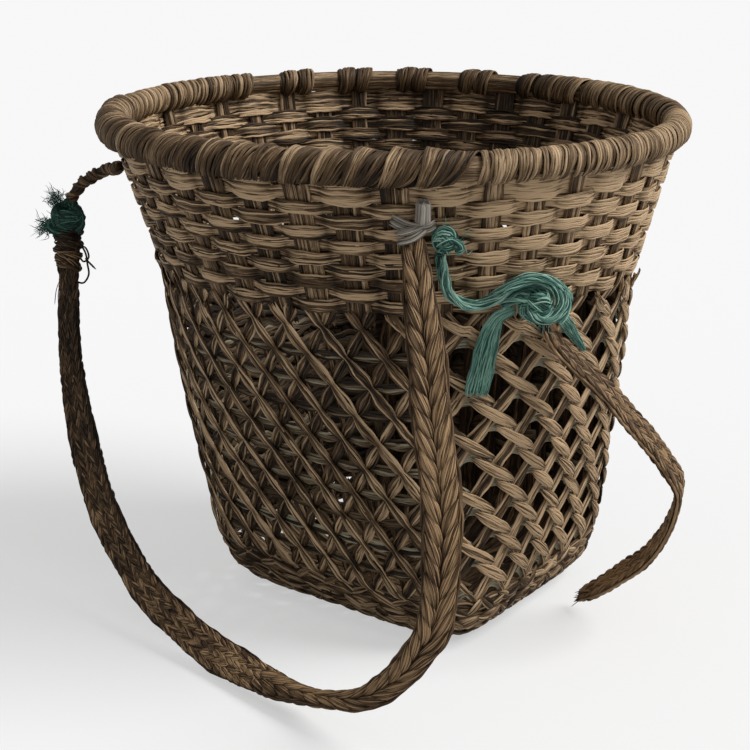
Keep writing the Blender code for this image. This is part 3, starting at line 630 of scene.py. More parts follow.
def braid_leaf(fibres, strap, distance, share, column, face):
    """One leaf of the braid, at these distances along the strap."""
    half = strap.at(distance, strap.widths) / 2
    narrow = np.clip(half * 2 / LONG_STRAP_WIDTH, 0.45, 1.0)
    middle_gap = LEAF_WIDTH * narrow * 0.42
    sideways = half * 0.86 + (middle_gap * 0.40 - half * 0.86) * share**0.8
    rise = BRAID_THICKNESS * (0.05 + 0.34 * np.sin(math.pi * np.clip(share * 0.95, 0, 1)) ** 0.7)
    normal = strap.at(distance, strap.facing) * face
    middle = strap.at(distance, strap.centres)
    middle = middle + strap.at(distance, strap.across) * (column * sideways)[:, None]
    tone = strap.tone(distance) - 0.16 * fibres.random.random()
    # Painted shade: each leaf is darker towards its ends, where it goes under its neighbours.
    fibres.bundle(
        middle + normal * rise[:, None], normal, LEAF_WIDTH * narrow * leaf_shape(share, 0.04, 0.55),
        LEAF_FIBRES, BRAID_THICKNESS * 0.24, crown=0.2, wander=0.6,
        shade=tone + 0.40 * arch(share) - 0.28, taper=STRIP_TIP, fill=0.74,
        dome=BRAID_THICKNESS * 0.30 * float(narrow.mean())
    )


def plait(fibres, strap, start_share, end_share, pitch, columns):
    """A closer braid of several columns: short leaves slant one way and the other, column by column."""
    start, end = strap.length * start_share, strap.length * end_share
    leaves = int(strap.length * (end_share - start_share) / pitch)
    share = np.linspace(0.0, 1.0, 7)
    for face in (1.0, -1.0):
        for column in range(columns):
            for leaf in range(leaves):
                jitter = 0.3 * fibres.stray()
                first = start + (leaf + 0.5 * (column % 2) + jitter) * pitch
                distance = np.minimum(first + share * pitch * 1.55, end)
                plait_leaf(fibres, strap, distance, share, column, columns, face)


def plait_leaf(fibres, strap, distance, share, column, columns, face):
    """One leaf of the plait, at these distances along the strap."""
    side = (column - (columns - 1) / 2) / columns
    slant = 1.0 if column % 2 else -1.0
    width = strap.at(distance, strap.widths)
    sideways = width * 0.88 * (side + slant * (share - 0.5) * 0.9 / columns)
    rise = PLAIT_THICKNESS * (0.24 + 0.10 * arch(share))
    normal = strap.at(distance, strap.facing) * face
    middle = strap.at(distance, strap.centres) + normal * rise[:, None]
    middle = middle + strap.at(distance, strap.across) * sideways[:, None]
    wide = width.mean() / columns * 1.12 * leaf_shape(share, 0.06, 0.5)
    tone = strap.tone(distance) + 0.16 * fibres.stray()
    # Painted shade: each leaf is darker towards its ends, where it goes under the next.
    tone = tone + 0.16 * arch(share) - 0.08
    fibres.bundle(
        middle, normal, wide, 4, PLAIT_THICKNESS * 0.24, crown=0.8, wander=0.6, shade=tone,
        taper=THREAD_TIP, spread=0.24
    )


EDGE_WIDTH, EDGE_INSET = 0.0034, 0.0016


def edges(fibres, strap, thickness, lighter):
    """The turned edge of a braid: a few fibres that run on along each side."""
    tone = strap.tone(strap.along) + lighter
    for side in (-1.0, 1.0):
        line = shifted(strap.centres, strap.facing, side * (strap.widths / 2 - EDGE_INSET))
        fibres.bundle(
            line, strap.facing, EDGE_WIDTH, 3, thickness * 0.42, wander=0.9, shade=tone,
            taper=STRIP_TIP, fill=0.8, spread=0.3
        )


def shade_core(fibres, strap, thickness):
    """The dark middle of a braid, seen only between its leaves: painted shade between them."""
    fibres.add(strap.centres, strap.facing, strap.widths * 0.40, thickness * 0.22, shade=0.2, sides=8)


LONG_STRAP_THICKNESS, LONG_STRAP_END_THICKNESS = 0.0050, 0.0034
LONG_PLAIT_PITCH, LONG_PLAIT_COLUMNS = 0.0066, 5
BRAID_END_SHARE, PLAIT_START_SHARE, BARE_END_SHARE = 0.50, 0.48, 0.90


def long_strap():
    fibres = Fibres(11)
    strap = Strap(
        LONG_STRAP_ROUTE, LONG_STRAP_WIDTH, LONG_STRAP_WIDTHS, LONG_STRAP_TONES,
        lambda share, tangent: read_table(LONG_STRAP_FACES, share)
    )
    shade_core(fibres, strap, LONG_STRAP_THICKNESS)
    braid(fibres, strap, 0.0, BRAID_END_SHARE)
    plait(fibres, strap, PLAIT_START_SHARE, 1.0, LONG_PLAIT_PITCH, LONG_PLAIT_COLUMNS)
    edges(fibres, strap, LONG_STRAP_THICKNESS, -0.06)
    last = strap.along > BARE_END_SHARE * strap.length
    fibres.bundle(
        strap.centres[last], strap.facing[last], strap.widths[last] * 0.9, 9, LONG_STRAP_END_THICKNESS,
        wander=0.9, shade=0.12, taper=STRIP_TIP
    )
    piece = fibres.mesh("long_strap_braid", dark_bark, "long_strap", "long_strap", slot="dark_bark")


LOOSE_CORE_THICKNESS, LOOSE_EDGE_THICKNESS = 0.0048, 0.0046
LOOSE_PLAIT_PITCH, LOOSE_PLAIT_COLUMNS, LOOSE_PLAIT_END_SHARE = 0.0072, 4, 0.985
TORN_ENDS = 14
TORN_SPREAD, TORN_ROOT, TORN_SHORTEST, TORN_VARIATION = 0.010, 0.006, 0.006, 0.005
TORN_HALF_WIDTH, TORN_HALF_HEIGHT = 0.0004, 0.0003


def torn_end(fibres, strap):
    """Broken fibres that stand out of the strap's torn end."""
    tip, tangent, side = strap.centres[-1], tangents(strap.centres)[-1], strap.across[-1]
    run = np.linspace(0.0, 1.0, 5)[:, None]
    for _ in range(TORN_ENDS):
        lean = fibres.stray() * 0.9
        start = tip + side * fibres.stray() * TORN_SPREAD - tangent * TORN_ROOT
        reach = TORN_SHORTEST + TORN_VARIATION * fibres.random.random()
        line = start + (tangent + side * lean) * run * reach
        facing = np.tile(strap.facing[-1], (5, 1))
        fibres.add(line, facing, TORN_HALF_WIDTH, TORN_HALF_HEIGHT, shade=0.2, sides=4, taper=THREAD_TIP)


def loose_strap():
    fibres = Fibres(12)
    strap = Strap(
        LOOSE_STRAP_ROUTE, LOOSE_STRAP_WIDTH, LOOSE_STRAP_WIDTHS, LOOSE_STRAP_TONES,
        lambda share, tangent: unit(np.cross(LOOSE_STRAP_ACROSS, tangent))
    )
    shade_core(fibres, strap, LOOSE_CORE_THICKNESS)
    plait(fibres, strap, 0.0, LOOSE_PLAIT_END_SHARE, LOOSE_PLAIT_PITCH, LOOSE_PLAIT_COLUMNS)
    edges(fibres, strap, LOOSE_EDGE_THICKNESS, 0.10)
    torn_end(fibres, strap)
    piece = fibres.mesh("loose_strap_braid", dark_bark, "loose_strap", "loose_strap", slot="dark_bark")


def transport(points):
    """Normals carried along a line without twist, and its tangents."""
    tangent = tangents(points)
    seed = UP if abs(tangent[0][2]) < 0.8 else np.array([1.0, 0.0, 0.0])
    normal = unit(seed - tangent[0] * seed.dot(tangent[0]))
    found = [normal]
    for index in range(1, len(points)):
        normal = unit(normal - tangent[index] * normal.dot(tangent[index]))
        found.append(normal)
    return np.array(found), tangent


def twist_run(fibres, points, radius, number, turns_per_metre, thread, tone=0.5, spread=0.3, loose=0.18):
    """Thin fibres laid with a slow twist round a line."""
    normal, tangent = transport(points)
    side = np.cross(tangent, normal)
    along = lengths_along(points)
    for _ in range(number):
        out = math.sqrt(0.12 + 0.88 * fibres.random.random()) * 0.92
        turn = math.tau * (fibres.random.random() + turns_per_metre * along) + 0.5 * fibres.sway(along)
        reach = radius * out * (1.0 + loose * fibres.sway(along))
        around = normal * np.cos(turn)[:, None] + side * np.sin(turn)[:, None]
        shade = tone + spread * fibres.stray()
        line = points + around * reach[:, None]
        fibres.add(line, around, thread, thread, shade=shade, sides=5, taper=THREAD_TIP)


def round_core(fibres, points, radius, shade, sides=8, taper=0.0):
    """A dark round tube that closes the middle of a twist of fibres: painted shade between them. The winding's
    thin dark wires are drawn with it too.
    """
    fibres.add(points, transport(points)[0], radius, radius, shade=shade, sides=sides, taper=taper)


LEFT_TIE_DIAMETER, LEFT_TIE_RADIUS, LEFT_TIE_LUMP, LEFT_TIE_FIBRE = 0.0100, 0.0044, 0.0085, 0.0012


def left_tie():
    fibres = Fibres(13)
    points = evenly(curve_through(LEFT_TIE_ROUTE, ROUTE_STEPS), TIE_SPACING)
    along = lengths_along(points)
    lumps = LEFT_TIE_RADIUS * (0.82 + 0.22 * np.abs(np.sin(math.pi * along / LEFT_TIE_LUMP)) ** 0.7)
    twist_run(fibres, points, lumps, 12, 62.0, LEFT_TIE_FIBRE, tone=0.35, spread=0.5, loose=0.1)
    round_core(fibres, points, lumps * 0.8, 0.1)
    piece = fibres.mesh("left_tie_twist", dark_bark, "left_tie_cord", "basket", slot="dark_bark")


YARN_DIAMETER, YARN_RADIUS, YARN_CORE = 0.0072, 0.0034, 0.0026


def yarn_cord():
    fibres = Fibres(14)
    points = evenly(curve_through(YARN_ROUTE, ROUTE_STEPS), YARN_SPACING)
    twist_run(fibres, points, YARN_RADIUS, 46, 9.0, YARN_THREAD, spread=0.8, loose=0.3)
    round_core(fibres, points, YARN_CORE, 0.15)
    piece = fibres.mesh("yarn_cord_strands", yarn, "yarn_cord", "basket", slot="yarn")


TAIL_DEPTH, TAIL_WAVE, TAIL_CORE = 0.0034, 0.0006, 0.0011
LONG_TAIL_WIDTH, SHORT_TAIL_WIDTH = 0.0160, 0.0085
LONG_TAIL_WIDTHS = ((0.0, 0.35), (0.25, 0.7), (0.5, 1.0), (1.0, 1.0))
SHORT_TAIL_WIDTHS = ((0.0, 0.8), (0.3, 1.0), (1.0, 0.25))


def yarn_tail(name, route, width, widths, seed, number):
    """A flat end of yarn that hangs loose, its threads side by side."""
    fibres = Fibres(seed)
    points = evenly(curve_through(route, ROUTE_STEPS), STRAP_SPACING)
    along = lengths_along(points)
    share = along / along[-1]
    tangent = tangents(points)
    facing = np.array(TAIL_FACE)
    facing = unit(facing - tangent * (tangent @ facing)[:, None])
    side = np.cross(facing, tangent)
    spread = width * read_table(widths, share)
    for _ in range(number):
        place = fibres.stray()
        depth = fibres.stray() * TAIL_DEPTH * math.sqrt(max(1.0 - 4.0 * place * place, 0.0))
        sway = fibres.sway(along) * 0.07
        keep = share <= 1.0 - 0.10 * fibres.random.random()
        line = points + side * (spread * (place + sway))[:, None] + facing * depth
        line = line + facing * (TAIL_WAVE * fibres.sway(along))[:, None]
        tone = 0.5 + 0.4 * fibres.stray()
        fibres.add(line[keep], facing[keep], TAIL_THREAD, TAIL_THREAD, shade=tone, sides=5, taper=STRIP_TIP)
    # A dark flat ribbon under the threads: painted shade between them.
    fibres.add(points[:-2], facing[:-2], spread[:-2] * 0.42, TAIL_CORE, shade=0.2, sides=8)
    fibres.mesh(name + "_strands", yarn, name, "basket", slot="yarn")


def loop_round(fibres, centre, radii, axis, off, turns, thick, number, tone, thread=YARN_THREAD, start=0.0):
    """One loop of yarn or bark laid round a knot."""
    axis = unit(np.array(axis, float))
    first = unit(np.cross(axis, (0.31, 0.52, 0.79)))
    second = np.cross(axis, first)
    angle = start + np.linspace(0.0, math.tau * turns, int(30 * turns) + 4)
    ring = first * np.cos(angle)[:, None] + second * np.sin(angle)[:, None]
    drift = off + 0.12 * np.sin(angle * 0.7 + start)
    ring = ring * np.sqrt(1.0 - drift**2)[:, None] + axis * drift[:, None]
    dive = 1.0 - 0.45 * (1.0 - np.clip(np.minimum(angle - angle[0], angle[-1] - angle) / 0.6, 0.0, 1.0))
    points = np.array(centre) + ring * np.array(radii) * dive[:, None]
    twist_run(fibres, points, thick, number, 30.0, thread, tone, 0.7, 0.25)
    round_core(fibres, points, thick * 0.75, 0.05, 7, WRAP_TIP)


TUFT_SCATTER = 0.0022


def tuft(fibres, start, direction, reach, number, tone):
    """Loose curling fibre ends."""
    direction = unit(np.array(direction, float))
    run = np.linspace(0.0, 1.0, 9)[:, None]
    for _ in range(number):
        out = unit(direction + 0.55 * fibres.random.normal(size=3))
        curl = unit(fibres.random.normal(size=3))
        far = reach * (0.45 + 0.55 * fibres.random.random())
        wave = np.sin(run * math.tau * (0.5 + fibres.random.random())) * 0.25
        root = np.array(start) + TUFT_SCATTER * fibres.random.normal(size=3)
        line = root + (out * run + curl * (wave + 0.4 * run**2)) * far
        facing = np.tile(unit(np.cross(out, curl)), (9, 1))
        shade = tone + 0.5 * fibres.stray()
        fibres.add(line, facing, TUFT_THREAD, TUFT_THREAD, shade=shade, sides=4, taper=THREAD_TIP)


# Knots of yarn. Their runs and tufts are set out as the photo's view shows them.
SEEN_RIGHT = np.array((0.804, 0.595, 0.004))
SEEN_UP = np.array((-0.187, 0.246, 0.951))
SEEN_OUT = np.cross(SEEN_RIGHT, SEEN_UP)


def seen(across, up, depth=0.0):
    """An offset so far to the right, up and towards the viewer."""
    return SEEN_RIGHT * across + SEEN_UP * up + SEEN_OUT * depth


# Turns of yarn beside the knots: their radius, and metres to the right, up and forward of the centre.
FRONT_KNOT_RUNS = (
    (0.0024, ((0.002, -0.001, 0.004), (0.007, -0.002, 0.004), (0.0095, -0.005, 0.003),
              (0.0055, -0.0065, 0.003))),
    (0.0022, ((-0.005, 0.002, 0.003), (-0.001, 0.006, 0.003), (0.004, 0.004, 0.003),
              (0.005, 0.000, 0.003))),
)
LEFT_KNOT_RUNS = (
    (0.0030, ((-0.010, -0.002, 0.003), (-0.0125, -0.007, 0.003), (-0.006, -0.0105, 0.004),
              (0.004, -0.009, 0.005))),
    (0.0032, ((0.002, 0.006, 0.003), (0.008, 0.002, 0.004), (0.010, -0.005, 0.003),
              (0.006, -0.011, 0.003))),
    (0.0028, ((-0.002, 0.008, 0.002), (0.002, 0.012, 0.001), (0.005, 0.009, 0.002),
              (0.006, 0.003, 0.002))),
)
SIDE_KNOT_RUNS = (
    (0.0034, ((-0.018, 0.002, 0.002), (-0.010, 0.009, 0.004), (0.001, 0.0125, 0.004),
              (0.011, 0.009, 0.004), (0.0145, 0.000, 0.004), (0.010, -0.008, 0.005),
              (0.001, -0.009, 0.006), (-0.006, -0.004, 0.007))),
    (0.0034, ((0.016, 0.008, 0.001), (0.0185, 0.001, 0.002), (0.0165, -0.006, 0.002),
              (0.013, -0.011, 0.001))),
    (0.0036, ((-0.021, -0.001, 0.001), (-0.013, 0.003, 0.004), (-0.004, 0.004, 0.007))),
)
# Frayed ends: their start in shares of the knot's radii, where they point, their reach and their number.
FRONT_KNOT_TUFTS = (((0.6, 0.5, -0.2), SEEN_RIGHT, 0.008, 16), ((0.2, 0.1, 0.6), SEEN_UP, 0.006, 10))
SIDE_KNOT_TUFTS = (((0.3, 0.2, -0.7), -SEEN_UP, 0.010, 18), ((0.7, 0.4, 0.0), SEEN_RIGHT, 0.006, 10))
LEFT_KNOT_TUFTS = (
    ((-0.42, -0.32, 0.95), seen(-0.9, 0.7), 0.0095, 130),
    ((-0.85, -0.65, -0.45), seen(-1.0, -0.45), 0.0110, 130),
    ((0.0, 0.0, -0.7), -SEEN_UP, 0.008, 30),
)
# Loops round every knot: the axis, how far off the middle and how many turns.
KNOT_LOOPS = (
    ((0.2, 0.1, 1.0), 0.15, 1.2),
    ((0.9, 0.3, 0.35), -0.25, 1.1),
    ((0.5, -0.8, 0.5), 0.30, 1.3),
    ((-0.6, 0.5, 0.7), -0.10, 1.2),
    ((0.8, -0.2, -0.6), 0.45, 1.1),
)
FRONT_KNOT_YARN, SIDE_KNOT_YARN, LEFT_KNOT_YARN = 0.0034, 0.0044, 0.0036


def yarn_knot(node, body, seed, thick, tone, tufts, runs):
    """A knot of yarn: a few turns of it drawn tight over each other, with frayed ends."""
    low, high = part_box(node)
    centre, radii = np.array((low + high) / 2), np.array((high - low) / 2)
    fibres = Fibres(seed)
    for number, (axis, off, turns) in enumerate(KNOT_LOOPS):
        inner = radii - thick * (0.95 - 0.10 * (number % 3))
        axis = np.array(axis) + 0.3 * (fibres.random.random(3) - 0.5)
        loop_tone = tone + 0.06 * number
        loop_round(fibres, centre, inner, axis, off, turns, thick, 30, loop_tone, start=number * 1.1)
    # A dark lump inside the knot: painted shade that shows between its loops.
    fibres.add(
        centre + np.linspace(-0.5, 0.5, 7)[:, None] * UP * radii[2], np.tile((1.0, 0.0, 0.0), (7, 1)),
        radii[0] * 0.6, radii[1] * 0.6, shade=0.0, sides=10
    )
    for run_thick, run in runs:
        line = [centre + seen(*offset) for offset in run]
        points = evenly(curve_through(line, 6), YARN_SPACING)
        twist_run(fibres, points, run_thick, 34, 14.0, YARN_THREAD, tone + 0.16, 0.7, 0.25)
        round_core(fibres, points, run_thick * 0.75, 0.1, 7, WRAP_TIP)
    for start, direction, reach, count in tufts:
        tuft(fibres, centre + np.array(start) * radii, direction, reach, count, tone + 0.22)
    fibres.mesh(node + "_turns", yarn, node, body, slot="yarn")


# Winding: its middle, the step between its turns, their radii, the bark's radius and the core's size.
WINDING_MIDDLE = np.array((-0.2064, -0.1156, 0.2440))
WINDING_TURNS, DARK_TURNS = 11, 6
WINDING_FIRST, WINDING_STEP, WINDING_SHIFT = 0.0125, 0.0027, 0.0012
WINDING_RADII = np.array((0.0088, 0.0076, 0.0072))
WINDING_BARK, WINDING_BARK_VARIATION, WINDING_FIBRE = 0.0023, 0.0007, 0.00045
WINDING_CORE_TOP, WINDING_CORE_FOOT = 0.013, -0.020
WINDING_CORE_WIDTH, WINDING_CORE_THICKNESS = 0.0150, 0.0070
WIRE_RADIUS, HAIR_RADIUS = 0.0007, 0.0003
# Wires and hairs: metres to the right of the winding's middle and up from it.
WIRES = (
    (
        (0.0075, 0.004),
        (0.0125, -0.004),
        (0.0140, -0.012),
        (0.0150, -0.020),
        (0.0110, -0.026),
        (0.0040, -0.024),
    ),
    ((0.0070, -0.004), (0.0110, -0.0105), (0.0150, -0.0075), (0.0130, -0.0010), (0.0085, 0.001)),
    ((0.0120, -0.008), (0.0160, -0.012), (0.0205, -0.0165)),
)
HAIRS = (
    ((-0.0060, -0.024), (-0.0085, -0.032), (-0.0095, -0.042)),
    ((-0.0050, -0.024), (-0.0070, -0.034), (-0.0065, -0.048)),
)


def strap_end_winding():
    """Bark wound round the strap's upper end, with a loose wiry loop and a spike."""
    fibres = Fibres(24)
    for number in range(WINDING_TURNS):
        offset = seen(WINDING_SHIFT * math.sin(number * 2.1), WINDING_FIRST - WINDING_STEP * number)
        axis = SEEN_UP + 0.5 * (fibres.random.random(3) - 0.5)
        thick = WINDING_BARK + WINDING_BARK_VARIATION * fibres.random.random()
        tone = 0.06 if number < DARK_TURNS else 0.36
        radii = WINDING_RADII * (1.0 - 0.018 * number)
        centre = WINDING_MIDDLE + offset
        loop_round(fibres, centre, radii, axis, 0.0, 1.15, thick, 18, tone, WINDING_FIBRE, number * 0.9)
    fibres.bundle(
        WINDING_MIDDLE + SEEN_UP * np.linspace(WINDING_CORE_TOP, WINDING_CORE_FOOT, 12)[:, None],
        np.tile(SEEN_OUT, (12, 1)), WINDING_CORE_WIDTH, 7, WINDING_CORE_THICKNESS, shade=0.06,
        taper=STRIP_TIP
    )
    for wires, radius in ((WIRES, WIRE_RADIUS), (HAIRS, HAIR_RADIUS)):
        for wire in wires:
            points = curve_through([WINDING_MIDDLE + seen(across, up) for across, up in wire], 6)
            round_core(fibres, points, radius, 0.08, 6, THREAD_TIP)
    fibres.mesh("strap_end_winding", dark_bark, body="long_strap", slot="dark_bark")


long_strap()
loose_strap()
left_tie()
yarn_cord()
yarn_tail("yarn_tail_long", LONG_TAIL_ROUTE, LONG_TAIL_WIDTH, LONG_TAIL_WIDTHS, 15, 110)
yarn_tail("yarn_tail_short", SHORT_TAIL_ROUTE, SHORT_TAIL_WIDTH, SHORT_TAIL_WIDTHS, 16, 60)
yarn_knot("front_yarn_knot", "basket", 21, FRONT_KNOT_YARN, 0.28, FRONT_KNOT_TUFTS, FRONT_KNOT_RUNS)
yarn_knot("side_yarn_knot", "basket", 22, SIDE_KNOT_YARN, 0.34, SIDE_KNOT_TUFTS, SIDE_KNOT_RUNS)
# The left knot is painted very dark: painted shade, as it hangs in shadow.
yarn_knot("left_yarn_knot", "long_strap", 23, LEFT_KNOT_YARN, -0.08, LEFT_KNOT_TUFTS, LEFT_KNOT_RUNS)
strap_end_winding()


# Faces of the basket: lines 0 to 8 are on the front left, 9 to 19 on the front right, and so on round.
def on_x_face(place):
    """1 on the two faces across X, 0 on the two across Y."""
    spot = place % (LINES_ON_Y_FACE + LINES_ON_X_FACE)
    return ramp(spot, LINES_ON_Y_FACE - 0.6, LINES_ON_Y_FACE + 0.2) * (1.0 - ramp(spot, 19.0, 19.8))


def on_far_faces(place):
    """1 on the two faces behind, 0 on the two in front."""
    spot = place % LINES
    return ramp(spot, 18.4, 19.6) * (1.0 - ramp(spot, 38.4, 39.4))


def painted_face_light(place):
    """Painted light and shade: the face on +X is painted paler, as if lit, and the ones behind are painted
    darker, as if in shade, as the photo has them.
    """
    spot = place % LINES
    pale = 0.38 * ramp(spot, 7.5, 10.5) * (1.0 - ramp(spot, 17.0, 19.5))
    dark = (0.02 * ramp(spot, 18.0, 20.0) + 0.26 * ramp(spot, 22.0, 24.5)) * (1.0 - ramp(spot, 29.0, 31.0))
    return pale - dark


def between_crossings(count):
    """0 at each crossing and 1 half-way between two."""
    return np.abs(arch(count)) ** 0.8


# Band weavers.
WEAVER_FIBRES, TOP_WEAVER_FIBRES = 9, 13
WEAVER_THICKNESS, WEAVER_SAG = 0.0011, 0.0004
TOP_WEAVER_RISE, TOP_WEAVER_GROWTH = 0.0025, 1.75


def weaver(row):
    fibres = Fibres(100 + row)
    place = np.arange(0, LINES, 0.125)
    top = row == ROWS - 1
    height = ROW_FIRST + row * ROW_PITCH + (TOP_WEAVER_RISE if top else 0.0)
    wave = np.cos(math.pi * (place + row))
    push = np.clip(wave * 1.7, -1.0, 1.0)
    offset = np.where(push > 0, WEAVER_OUT * push, WEAVER_IN * push)
    sag = WEAVER_SAG * np.sin(math.tau * place / LINES * 7 + row)
    centres, normals = wall(place, height + sag, offset)
    width = WEAVER_HEIGHT * (1.14 + 0.16 * np.abs(wave) ** 0.8 + 0.10 * on_far_faces(place))
    # Painted shade: the weaver is darker where it dives past an upright, and the faces get their painted light
    # and shade.
    fibres.bundle(
        centres, normals, width * (TOP_WEAVER_GROWTH if top else 1.0),
        TOP_WEAVER_FIBRES if top else WEAVER_FIBRES, WEAVER_THICKNESS, closed=True, crown=0.5,
        wander=0.9, shade=0.26 + 0.34 * np.abs(wave) ** 0.6 + painted_face_light(place), fill=0.74, spread=0.46
    )
    fibres.mesh(f"band_weaver_fibres_{row + 1}", bark, f"band_weaver_{row + 1}")


# Lattice strands: their ends in the band, their slanting runs, and the floats that cross over.
BAND_STRAND_WIDTH, BAND_STRAND_THICKNESS, BAND_STRAND_LAP = 0.0058, 0.0014, 0.0020
STRAND_THICKNESS, STRAND_SWAY = 0.0013, 0.0005
STRAND_BULGE, STRAND_DIP, STRAND_DROP, STRAND_END_LIFT = 0.0010, 0.0006, 0.0010, 0.0008
FLOAT_REACH, FLOAT_SLANT, FLOAT_WIDTH, FLOAT_THICKNESS = 0.76, 0.0052, 0.0076, 0.0012
FLOAT_LIFT, FLOAT_DIP, FLOAT_TIP = 0.0016, 0.0010, 0.005


def strand_apart(line):
    on_y = line % (LINES_ON_Y_FACE + LINES_ON_X_FACE) < LINES_ON_Y_FACE
    return STRAND_APART_WITH_UPRIGHT if on_y else STRAND_APART_ALONE


def pitch_at(line, height):
    first = wall(float(line), height)[0]
    return float(np.linalg.norm(wall(float(line) + 1.0, height)[0] - first))


def column_place(column):
    """The place of a lattice column: one to a line across Y, one to a line and a half across X."""
    around, part = np.divmod(np.asarray(column, float), COLUMNS)
    columns, lines = zip(*COLUMN_LINES)
    return around * LINES + np.interp(part, columns, lines)


def lattice_run(first, lean, rows):
    """Places and heights of a slanting strip that leaves the head row at this column."""
    return column_place(first + lean * rows / 2), LATTICE_HEAD - rows * SEEN_RISE


def strand_in_band(fibres, line):
    """The upright ends of two strands, one on either side of a line of the band."""
    height = np.linspace(LATTICE_HEAD - BAND_STRAND_LAP, STRAND_TOP, 30)
    # The faces' painted light and shade, at half strength.
    tone = 0.30 + 0.5 * painted_face_light(line)
    for side in (-1.0, 1.0):
        apart = side * strand_apart(line) / pitch_at(line, BAND_FOOT)
        centres, normals = wall(np.full(30, line + apart), height, np.zeros(30))
        fibres.bundle(
            centres, normals, BAND_STRAND_WIDTH, 3, BAND_STRAND_THICKNESS, wander=0.3, shade=tone,
            taper=STRIP_TIP, fill=0.66
        )


def slanting_strip(fibres, first, lean, level):
    """A strip that leaves the head row at this column and runs down through the lattice."""
    rows = np.arange(-0.6, LATTICE_ROWS + 0.36, 1.0 / 7)
    meet = between_crossings(rows)
    ends = ramp(rows, -0.5, 0.2) * (1.0 - ramp(rows, LATTICE_ROWS - 0.2, LATTICE_ROWS + 0.3))
    place, height = lattice_run(first, lean, rows)
    falling = lean > 0
    x_face, far = on_x_face(place), on_far_faces(place)
    y_face = 1.0 - x_face
    lens = (0.52 + 0.72 * meet) * y_face + (0.45 if falling else 1.40) * x_face
    bulge = (STRAND_BULGE * meet - STRAND_DIP) * y_face - STRAND_DROP * x_face * falling
    lift = (level + bulge - STRAND_END_LIFT) * ends + STRAND_END_LIFT
    centres, normals = wall(place, height, lift)
    centres = shifted(centres, normals, STRAND_SWAY * fibres.sway(lengths_along(centres)))
    # Painted shade: darker at the crossings and on the faces behind, and the faces get their painted light and
    # shade too.
    tone = 0.24 + (0.26 * meet + 0.08 * falling - 0.05) * y_face + painted_face_light(place) - 0.22 * far
    fibres.bundle(
        centres, normals, STRAND_WIDTH_LATTICE * lens * (1.0 + 1.5 * far), 6, STRAND_THICKNESS,
        crown=0.9, wander=0.9, shade=tone + 0.12 * fibres.stray(), taper=STRIP_TIP, fill=0.7,
        spread=0.44
    )


def floats(fibres, first):
    """On the faces across X a falling strip goes over the rising ones in short floats, laid like rope."""
    run = np.linspace(-FLOAT_REACH, FLOAT_REACH, 12)
    share = (run + FLOAT_REACH) / (2.0 * FLOAT_REACH)
    for row in range(LATTICE_ROWS):
        middle, _ = lattice_run(first, 1.0, np.array(float(row)))
        if on_x_face(middle) < 0.5:
            continue
        far = float(on_far_faces(middle))
        place, height = lattice_run(first, 1.0, row + run)
        lift = FLOAT_LIFT * arch(share) - FLOAT_DIP
        points, normals = wall(place, height, FALLING_SEEN + lift)
        # Painted shade: darker at each float's ends, where it goes under, and on the faces behind, and the
        # faces get their painted light and shade too.
        tone = 0.24 + 0.32 * arch(share) + float(painted_face_light(middle)) - 0.22 * far
        fibres.bundle(
            shifted(points, normals, -FLOAT_SLANT * (1.0 - 2.0 * share)), normals,
            FLOAT_WIDTH * leaf_shape(share, 0.05, 0.55) * (1.0 + 1.3 * far), 8, FLOAT_THICKNESS,
            crown=1.4, wander=0.8, shade=tone + 0.14 * fibres.stray(), taper=FLOAT_TIP, fill=0.7,
            spread=0.5
        )


def strand(index):
    fibres = Fibres(200 + index)
    for line in range(index, LINES, STRANDS):
        strand_in_band(fibres, line)
    for first in range(index, COLUMNS, STRANDS):
        slanting_strip(fibres, first, 1.0, FALLING_SEEN)
        slanting_strip(fibres, first, -1.0, RISING_SEEN)
        floats(fibres, first)
    fibres.mesh(f"lattice_strand_fibres_{index + 1}", bark, f"lattice_strand_{index + 1}")


# Lattice hoops.
HOOP_ARCH, HOOP_BULGE, HOOP_THICKNESS = 0.0098, 0.0014, 0.0012


def hoop(row):
    fibres = Fibres(300 + row)
    column = np.arange(0, COLUMNS, 0.08)
    place = column_place(column)
    below = HOOP_ROWS - row
    meet = between_crossings(column - below / 2)
    x_face, far = on_x_face(place), on_far_faces(place)
    arched = x_face * (1.0 - far)
    height = LATTICE_HEAD - below * SEEN_RISE + HOOP_ARCH * meet * arched
    centres, normals = wall(place, height, HOOP_SEEN + HOOP_BULGE * meet * (1.0 - x_face))
    lens = (0.70 + 0.95 * meet) * (1.0 - arched) + 1.20 * arched
    # Painted shade: darker at the crossings and on the faces behind, and the faces get their painted light and
    # shade too.
    fibres.bundle(
        centres, normals, HOOP_HEIGHT * lens * (1.0 + 1.5 * far), 5, HOOP_THICKNESS, closed=True,
        crown=0.8, wander=0.8, shade=0.08 + 0.22 * meet + painted_face_light(place) - 0.14 * far + 0.50 * arched,
        fill=0.7, spread=0.42
    )
    fibres.mesh(f"lattice_hoop_fibres_{row + 1}", hoop_bark, f"lattice_hoop_{row + 1}")


# Uprights and base strips: their stations down the wall, round the bottom edge and through the mat.
STATION_SPACING = 0.0035
LATTICE_STATIONS = (0.8333, 0.5, 0.1667)
BEND_STATIONS = ((1.0, 0.3), (0.62, 0.6), (0.3, 0.85), (0.0, 1.0))
CROSS_STATIONS = (0.93, 0.62, 0.3, 0.0)
STRIP_THICKNESS, STRIP_FILL = 0.0014, 0.68
BACK_BEND_TOP, BACK_BEND_WIDTH, BACK_BEND_GROWTH, BACK_BEND_GROWS = 0.058, 0.0172, 0.0085, (0.004, 0.030)
CROSS_GROWTH = 1.55


